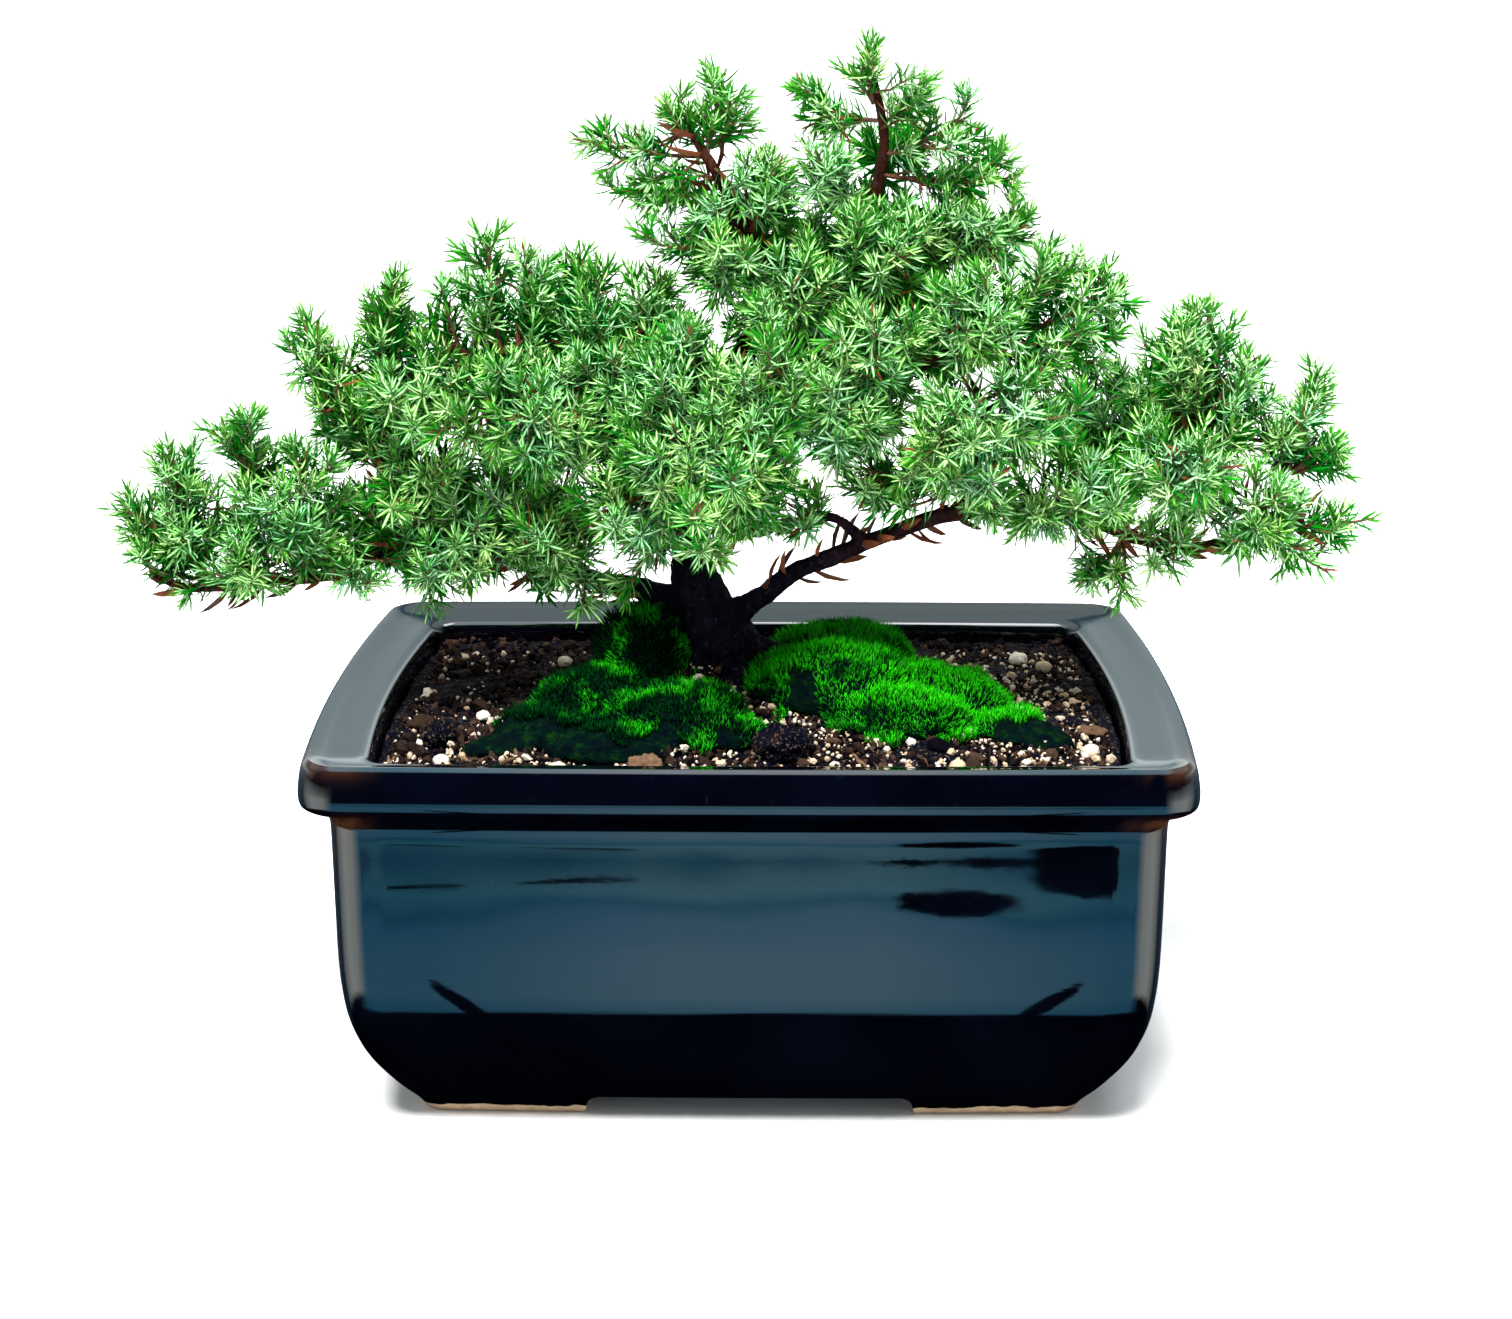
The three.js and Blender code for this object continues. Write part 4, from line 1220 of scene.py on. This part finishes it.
class Growth:
    """Everything that grows on one bough: stems and needles, gathered before they become one piece."""

    def __init__(self, seed):
        self.rng = np.random.default_rng(seed)
        self.stems = []
        self.needles = []
        self.needle_width = NEEDLE_WIDTH

    def shoot(self, start, control, end, radius, leafy, dry=0.01):
        """A bent stem, with whorls of three needles along its last leafy millimetres."""
        rng = self.rng
        sides = [control - start, end - control, end - start]
        length = sum(np.linalg.norm(side) for side in sides) / 2
        line, _ = curve_through(start, control, end, np.linspace(0, 1, max(4, int(length / 3.5))))
        self.stems.append((line, radius))
        leafy = min(leafy, length * 0.95)
        whorls = max(3, int(leafy / WHORL_STEP))
        from_tip = leafy * (1 - (np.arange(whorls) + 1) / whorls) ** 1.1
        share = 1 - from_tip / length
        centre, axis = curve_through(start, control, end, share)
        across = unit(np.cross(axis, unit(rng.normal(size=3))))
        other = np.cross(axis, across)
        young = np.clip(1 - from_tip / 5, 0, 1)
        mood = rng.normal(0, 0.2)
        for k in range(3):
            turn = 2 * math.pi * k / 3 + np.arange(whorls) * math.pi / 3 + rng.normal(0, 0.2, whorls)
            spoke = across * np.cos(turn)[:, None] + other * np.sin(turn)[:, None]
            lean = np.radians(blend(68, 40, young) + rng.normal(0, 10, whorls))[:, None]
            direction = axis * np.cos(lean) + spoke * np.sin(lean)
            upper = unit(axis * np.sin(lean) - spoke * np.cos(lean))
            size = NEEDLE_LENGTH * blend(1.0, 0.5, young**1.5) * rng.uniform(0.75, 1.15, whorls)
            is_dry = (rng.uniform(0, 1, whorls) < dry * blend(0.3, 2.5, from_tip / leafy)).astype(float)
            fresh = young * rng.uniform(0.2, 1.0, whorls)
            # Tone falls from the tip down the shoot: partly the older needles' deeper green, partly painted
            # shade inside the foliage.
            tone = blend(0.75, 0.2, from_tip / max(leafy, 20)) + mood + rng.normal(0, 0.2, whorls)
            tone = np.clip(tone, 0, 1)
            foot = centre + spoke * radius * 0.5
            self.needles.append(np.column_stack([foot, direction, upper, size, tone, fresh, is_dry]))

    def leader(self, base, tip):
        """The bough's own woody axis, which ends in a leafy tip. Returns its three curve points."""
        ahead = unit(tip - base)
        length = np.linalg.norm(tip - base)
        end = tip - ahead * NEEDLE_LENGTH * 0.5
        control = (base + end) / 2 + (np.array([0, 0, -0.08]) + self.rng.normal(0, 0.05, 3)) * length
        self.shoot(base, control, end, 0.6, 24, dry=0.02)
        return base, control, end

    def side_shoot(self, axes, tip, outward):
        """A shoot that leaves the nearest leader low down and bends up and out to its tip."""
        rng = self.rng
        steps = np.linspace(0, 1, 24)
        best = None
        for start, control, end in axes:
            line, _ = curve_through(start, control, end, steps)
            far = np.linalg.norm(line - tip, axis=1)
            if best is None or far.min() < best[0]:
                best = (far.min(), far.argmin(), line)
        reach, nearest, line = best
        step = np.linalg.norm(line[1] - line[0])
        root = line[max(0, int(nearest - reach * 0.8 / max(step, 0.1)))]
        rise = np.array([0, 0, 1.1 if outward[2] > -0.4 else 0.2])
        heading = unit(outward * 0.75 + rise + rng.normal(0, 0.3, 3))
        tip = tip - outward * (2 + rng.uniform(0, 6)) + heading * rng.uniform(-1, 2)
        span = np.linalg.norm(tip - root)
        if span < 7:
            return
        control = tip - heading * span * 0.55
        self.shoot(root, control, tip, 0.42, 26)
        for s in rng.uniform(0.35, 0.75, rng.integers(1, 4)):
            foot, way = curve_through(root, control, tip, [s])
            spoke = unit(np.cross(way[0], rng.normal(size=3)))
            branch = unit(way[0] * 0.8 + spoke * 0.62 + np.array([0, 0, 0.15]))
            own = rng.uniform(5, 10) * (1.25 - s)
            end = foot[0] + branch * own
            self.shoot(foot[0], (foot[0] + end) / 2 - spoke * own * 0.06, end, 0.3, own)

    def needle_mesh(self):
        """All needles' points, faces and painted values. The needles' tone rises towards the tree's right,
        which is painted light: the right side shows lighter than the left.
        """
        rows = np.concatenate(self.needles)
        foot, way, upper = rows[:, :3], rows[:, 3:6], rows[:, 6:9]
        size, tone, fresh, dry = rows[:, 9], rows[:, 10], rows[:, 11], rows[:, 12]
        side = np.cross(way, upper)
        width = self.needle_width * (size / NEEDLE_LENGTH) ** 0.5
        points = []
        for along, half in NEEDLE_RINGS:
            centre = foot + way * (size * along)[:, None] + upper * (size * NEEDLE_HOOK * along**2)[:, None]
            wide = side * (width * half)[:, None]
            points += [
                centre - wide,
                centre - upper * (width * half * 0.12)[:, None],
                centre + wide,
                centre - upper * (width * half * 0.75)[:, None],
            ]
        points.append(foot + way * size[:, None] + upper * (size * NEEDLE_HOOK)[:, None])
        points = np.stack(points, axis=1)
        count = len(rows)
        faces = (NEEDLE_FACES[None] + (np.arange(count) * NEEDLE_POINTS)[:, None, None]).reshape(-1, 3)
        values = {
            "along": np.tile(NEEDLE_ALONG, count),
            "pale": np.tile(NEEDLE_PALE, count),
            # Painted light: tone rises with x, so the tree's right side shows lighter than its left.
            "tone": np.repeat(np.clip(tone + foot[:, 0] * 0.0012, 0, 1), NEEDLE_POINTS),
            "fresh": np.repeat(fresh, NEEDLE_POINTS),
            "dry": np.repeat(dry, NEEDLE_POINTS),
        }
        return points.reshape(-1, 3), faces, values

    def stem_mesh(self):
        """All stems' points, quads and end triangles, and how far along its stem each point is."""
        sides = 5
        tubes, along = [], []
        for line, radius in self.stems:
            taper = np.linspace(1, 0.55, len(line)) * radius
            tubes.append(tube(line, np.repeat(taper[:, None], sides, axis=1), sides))
            is_shoot = radius < 0.5
            share = np.repeat(np.linspace(0, 1, len(line)) * is_shoot, sides)
            along.append(np.concatenate([share, [share[0], share[-1]]]))
        return *joined(tubes), np.concatenate(along)

    def piece(self, name):
        """One piece with all stems and needles."""
        stem_points, quads, fans, stem_along = self.stem_mesh()
        needle_points, needles, values = self.needle_mesh()
        start = len(stem_points)
        points = np.concatenate([stem_points, needle_points])
        faces = [quads, np.concatenate([fans, needles + start])]
        index = np.concatenate([np.zeros(len(quads) + len(fans)), np.ones(len(needles))])
        leafy = make_piece(name, points, faces, [TWIG, NEEDLE], smooth=False, material_index=index)
        for key, numbers in values.items():
            before = stem_along if key == "along" else np.zeros(start)
            paint(leafy, key, np.concatenate([before, numbers]))
        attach(leafy, "root")
        return leafy


def node_surface(node):
    """A CAD node's points and triangles, in millimetres."""
    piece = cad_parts[node]
    return mesh_points(piece)[0], triangles_of(piece)


def spaced_tips(node, neighbours, rng):
    """Evenly spaced places on a bough's envelope and their outward directions, few near a neighbour."""
    corner, cross, area = triangle_measures(*node_surface(node))
    place, outward = scattered_on(corner, cross, area, int(area.sum() / TIP_AREA), rng)
    kept = []
    for here, way in zip(place, outward):
        if any(np.linalg.norm(here - other) < TIP_SPACING for other, _ in kept):
            continue
        inside = neighbours.ray_cast(Vector(here + way * 0.05), Vector(way), 4.0)[0] is not None
        if inside and rng.uniform() > INNER_TIP_SHARE:
            continue
        kept.append((here, way))
    return kept


def build_foliage():
    """One piece for each bough: its leaders, and side shoots that reach the places on its envelope."""
    points, triangles = joined([node_surface(node) for node in [*BOUGHS, "trunk_and_branches"]])
    neighbours = BVHTree.FromPolygons(points.tolist(), triangles.tolist())
    for seed, (name, shoots) in enumerate(BOUGHS.items()):
        growth = Growth(500 + seed)
        rows = np.array(shoots, float)
        axes = [growth.leader(row[:3], row[3:6]) for row in rows]
        for tip, outward in spaced_tips(name, neighbours, growth.rng):
            growth.side_shoot(axes, tip, outward)
        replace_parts(growth.piece(name.replace("bough", "shoots")), name)


# The parts of the bare wood that still carry old needles.
DRY_WOOD = ["left_bough", "right_bough", "right_twig", "left_riser", "left_leader"]
DRY_WOOD += ["right_riser", "right_outer_riser"]


def build_dry_needles():
    """Old brown needles left along the bare wood."""
    rng = np.random.default_rng(91)
    growth = Growth(91)
    growth.needle_width = DRY_NEEDLE_WIDTH
    for name in DRY_WOOD:
        rows = smooth_route(WOOD_ROUTES[name], 2.0)[8:]
        axis = unit(np.gradient(rows[:, :3], axis=0))
        spoke = unit(np.cross(axis, rng.normal(size=(len(rows), 3))))
        lean = np.radians(rng.uniform(30, 70, len(rows)))[:, None]
        way = unit(axis * np.cos(lean) + spoke * np.sin(lean))
        upper = unit(np.cross(way, np.cross(axis, way)))
        foot = rows[:, :3] + spoke * rows[:, 3:4] * 0.7
        size = rng.uniform(5, 10, len(rows))
        tone = rng.uniform(0, 1, len(rows))
        fresh = np.zeros(len(rows))
        is_dry = np.ones(len(rows))
        growth.needles.append(np.column_stack([foot, way, upper, size, tone, fresh, is_dry]))
    points, faces, values = growth.needle_mesh()
    dry = make_piece("dry_needles", points, faces, NEEDLE, smooth=False)
    for key, numbers in values.items():
        paint(dry, key, numbers)
    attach(dry, "root")


build_dry_needles()
build_foliage()


# ---------------------------------------------------------------- stage, light and camera
def build_stage():
    """A plain pale floor. The glaze doesn't mirror it, and mirrors the world's room instead."""
    half = 30000
    shader = Shader("pale_floor", Roughness=0.9)
    shade = shader.ramp(shader.noise(400), [(0.0, (0.86, 0.86, 0.86)), (1.0, (0.9, 0.9, 0.9))])
    shader.link(shade, "Base Color")
    corners = [(-half, -half, 0), (half, -half, 0), (half, half, 0), (-half, half, 0)]
    mesh = bpy.data.meshes.new("floor")
    mesh.from_pydata([tuple(Vector(corner) * MM) for corner in corners], [], [(0, 1, 2, 3)])
    mesh.materials.append(shader.material)
    floor = bpy.data.objects.new("floor", mesh)
    bpy.context.scene.collection.objects.link(floor)
    floor.visible_glossy = False


# What the glaze mirrors at each height, from straight down (0) to straight up (1). In front of the pot: a
# dark table, pale blue-grey strips of window, a dark room and a bright ceiling. At its sides: paler walls.
# Behind it: a grey room.
FRONT_VIEW = [
    (0.188, (0.0, 0.0, 0.0)),
    (0.195, (0.035, 0.10, 0.15)),
    (0.23, (0.07, 0.135, 0.18)),
    (0.296, (0.07, 0.135, 0.185)),
    (0.3085, (0.052, 0.12, 0.18)),
    (0.3125, (0.022, 0.09, 0.135)),
    (0.315, (0.045, 0.125, 0.165)),
    (0.3195, (0.068, 0.155, 0.19)),
    (0.3215, (0.01, 0.055, 0.09)),
    (0.3245, (0.01, 0.055, 0.09)),
    (0.3265, (0.035, 0.11, 0.14)),
    (0.343, (0.07, 0.15, 0.17)),
    (0.356, (0.004, 0.01, 0.015)),
    (0.38, (0.0005, 0.0008, 0.003)),
    (0.9, (0.001, 0.0015, 0.005)),
    (0.955, (0.3, 0.33, 0.37)),
]
SIDE_VIEW = [
    (0.22, (0.0, 0.0, 0.0)),
    (0.24, (0.2, 0.22, 0.21)),
    (0.42, (0.22, 0.24, 0.23)),
    (0.5, (0.0, 0.0, 0.0)),
    (0.9, (0.001, 0.0015, 0.005)),
    (0.955, (0.45, 0.5, 0.55)),
]
BACK_VIEW = [
    (0.2, (0.0, 0.0, 0.0)),
    (0.4, (0.008, 0.014, 0.02)),
    (0.52, (0.035, 0.046, 0.05)),
    (0.605, (0.13, 0.15, 0.152)),
    (0.63, (0.085, 0.102, 0.105)),
    (0.65, (0.066, 0.082, 0.085)),
    (0.70, (0.03, 0.045, 0.05)),
    (0.735, (0.008, 0.018, 0.024)),
    (0.77, (0.05, 0.066, 0.07)),
    (0.86, (0.075, 0.092, 0.095)),
    (0.93, (0.12, 0.14, 0.145)),
    (0.96, (0.25, 0.28, 0.3)),
]
# Dark things that hide a part of the window strips, placed by the mirrored direction:
# [x, z, half width, half height, slope of z along x].
DARK_THINGS = [
    [0.158, -0.359, 0.034, 0.0095, 0],
    [0.09, -0.3725, 0.031, 0.0065, 0],
    [0.09, -0.3565, 0.052, 0.0022, 0],
    [-0.013, -0.3555, 0.02, 0.0018, 0],
    [-0.098, -0.3625, 0.03, 0.0009, 0],
    [-0.172, -0.363, 0.02, 0.0011, 0],
    [-0.153, -0.57, 0.016, 0.035, -5.6],
    [0.132, -0.57, 0.017, 0.035, 5],
]
MIRRORED_STRENGTH = 10
OPEN_SKY = (0.92, 0.97, 1.0)
OPEN_SKY_STRENGTH = 0.62


class Room(NodeTools):
    """The world's nodes, which read the direction that is seen or mirrored."""

    def __init__(self):
        world = bpy.data.worlds.new("studio")
        bpy.context.scene.world = world
        world.use_nodes = True
        super().__init__(world.node_tree)
        self.direction = self.nodes.new("ShaderNodeTexCoord").outputs["Generated"]
        self.x, self.y, self.z = self.split(self.direction)

    def cloudy(self, scale, strength, offset):
        """Uneven cloudiness over the directions, stretched sideways."""
        cloud = self.texture(self.direction, scale, 1, (1, 1, 3)).outputs["Fac"]
        return self.math("ADD", self.math("MULTIPLY", cloud, strength), offset)

    def vector_math(self, operation, vector, other, socket):
        """A sum with a vector, and another vector or number in the given socket."""
        node = self.nodes.new("ShaderNodeVectorMath")
        node.operation = operation
        self.links.new(vector, node.inputs[0])
        self.give(other, node.inputs[socket])
        return node.outputs["Vector"]

    def inside(self, thing):
        """1 inside a dark thing's ellipse, 0 outside it, with a narrow soft edge."""
        x, z, half_x, half_z, slope = thing
        right_of = self.math("SUBTRACT", self.x, x)
        above = self.math("SUBTRACT", self.z, self.math("ADD", self.math("MULTIPLY", right_of, slope), z))
        across = self.math("ABSOLUTE", self.math("DIVIDE", right_of, half_x))
        upward = self.math("ABSOLUTE", self.math("DIVIDE", above, half_z))
        reach = self.math("ADD", self.math("POWER", across, 2), self.math("POWER", upward, 2))
        return self.levels(self.math("ADD", reach, self.cloudy(70, 1.2, -0.6)), 1.15, 0.8)

    def mirrored(self):
        """What the glaze mirrors. The windows are brightest straight ahead."""
        level = self.math("ADD", self.levels(self.z, -1, 1), self.cloudy(11, 0.016, -0.008))
        aside = self.math("ABSOLUTE", self.x)
        dimming = self.mix(self.levels(aside, 0.05, 0.17), (1, 1, 1), (0.35, 0.66, 0.76))
        windows = self.vector_math("MULTIPLY", self.ramp(level, FRONT_VIEW), dimming, 1)
        ahead = self.mix(self.levels(aside, 0.35, 0.7), windows, self.ramp(level, SIDE_VIEW))
        for thing in DARK_THINGS:
            ahead = self.mix(self.inside(thing), ahead, (0.0, 0.0, 0.0))
        room = self.mix(self.levels(self.y, -0.25, 0.35), ahead, self.ramp(level, BACK_VIEW))
        return self.vector_math("SCALE", room, MIRRORED_STRENGTH, "Scale")


def build_world():
    """White surroundings that light the plant, with a room for the glaze to mirror."""
    room = Room()
    path = room.nodes.new("ShaderNodeLightPath").outputs
    sky = tuple(part * OPEN_SKY_STRENGTH for part in OPEN_SKY)
    seen = room.mix(path["Is Camera Ray"], sky, (1.0, 1.0, 1.0))
    colour = room.mix(path["Is Glossy Ray"], seen, room.mirrored())
    room.links.new(colour, room.nodes["Background"].inputs["Color"])


def add_lamp(lamp, place, way):
    """Puts a lamp into the scene, pointing that way. Returns its object."""
    piece = bpy.data.objects.new(lamp.name, lamp)
    bpy.context.scene.collection.objects.link(piece)
    piece.location = Vector(place) * MM
    piece.rotation_euler = Vector(way).to_track_quat("-Z", "Y").to_euler()
    return piece


def build_lights():
    """A broad soft sun from the front and above, which the glaze doesn't mirror, and a panel overhead."""
    sun = bpy.data.lights.new("sun", "SUN")
    sun.energy = SUN_STRENGTH
    sun.angle = math.radians(SUN_SPREAD)
    add_lamp(sun, (0, 0, 0), SUN_WAY).visible_glossy = False
    panel = bpy.data.lights.new("top", "AREA")
    panel.shape = "RECTANGLE"
    panel.size = 800 * MM
    panel.size_y = 500 * MM
    panel.energy = PANEL_STRENGTH
    add_lamp(panel, PANEL_PLACE, PANEL_WAY)


def build_camera():
    """The camera at the photographed angle."""
    camera = bpy.data.cameras.new("camera")
    camera.sensor_width = 36
    camera.lens = CAMERA_LENS
    camera.clip_start = 0.01
    piece = bpy.data.objects.new("camera", camera)
    bpy.context.scene.collection.objects.link(piece)
    tilt = math.radians(CAMERA_TILT)
    yaw = math.radians(CAMERA_YAW)
    ahead = Vector((math.sin(yaw) * math.cos(tilt), math.cos(yaw) * math.cos(tilt), -math.sin(tilt)))
    piece.location = Vector(CAMERA_PLACE) * MM
    piece.rotation_euler = ahead.to_track_quat("-Z", "Y").to_euler()
    bpy.context.scene.camera = piece


build_stage()
build_world()
build_lights()
build_camera()
bpy.context.scene.view_settings.view_transform = "Standard"
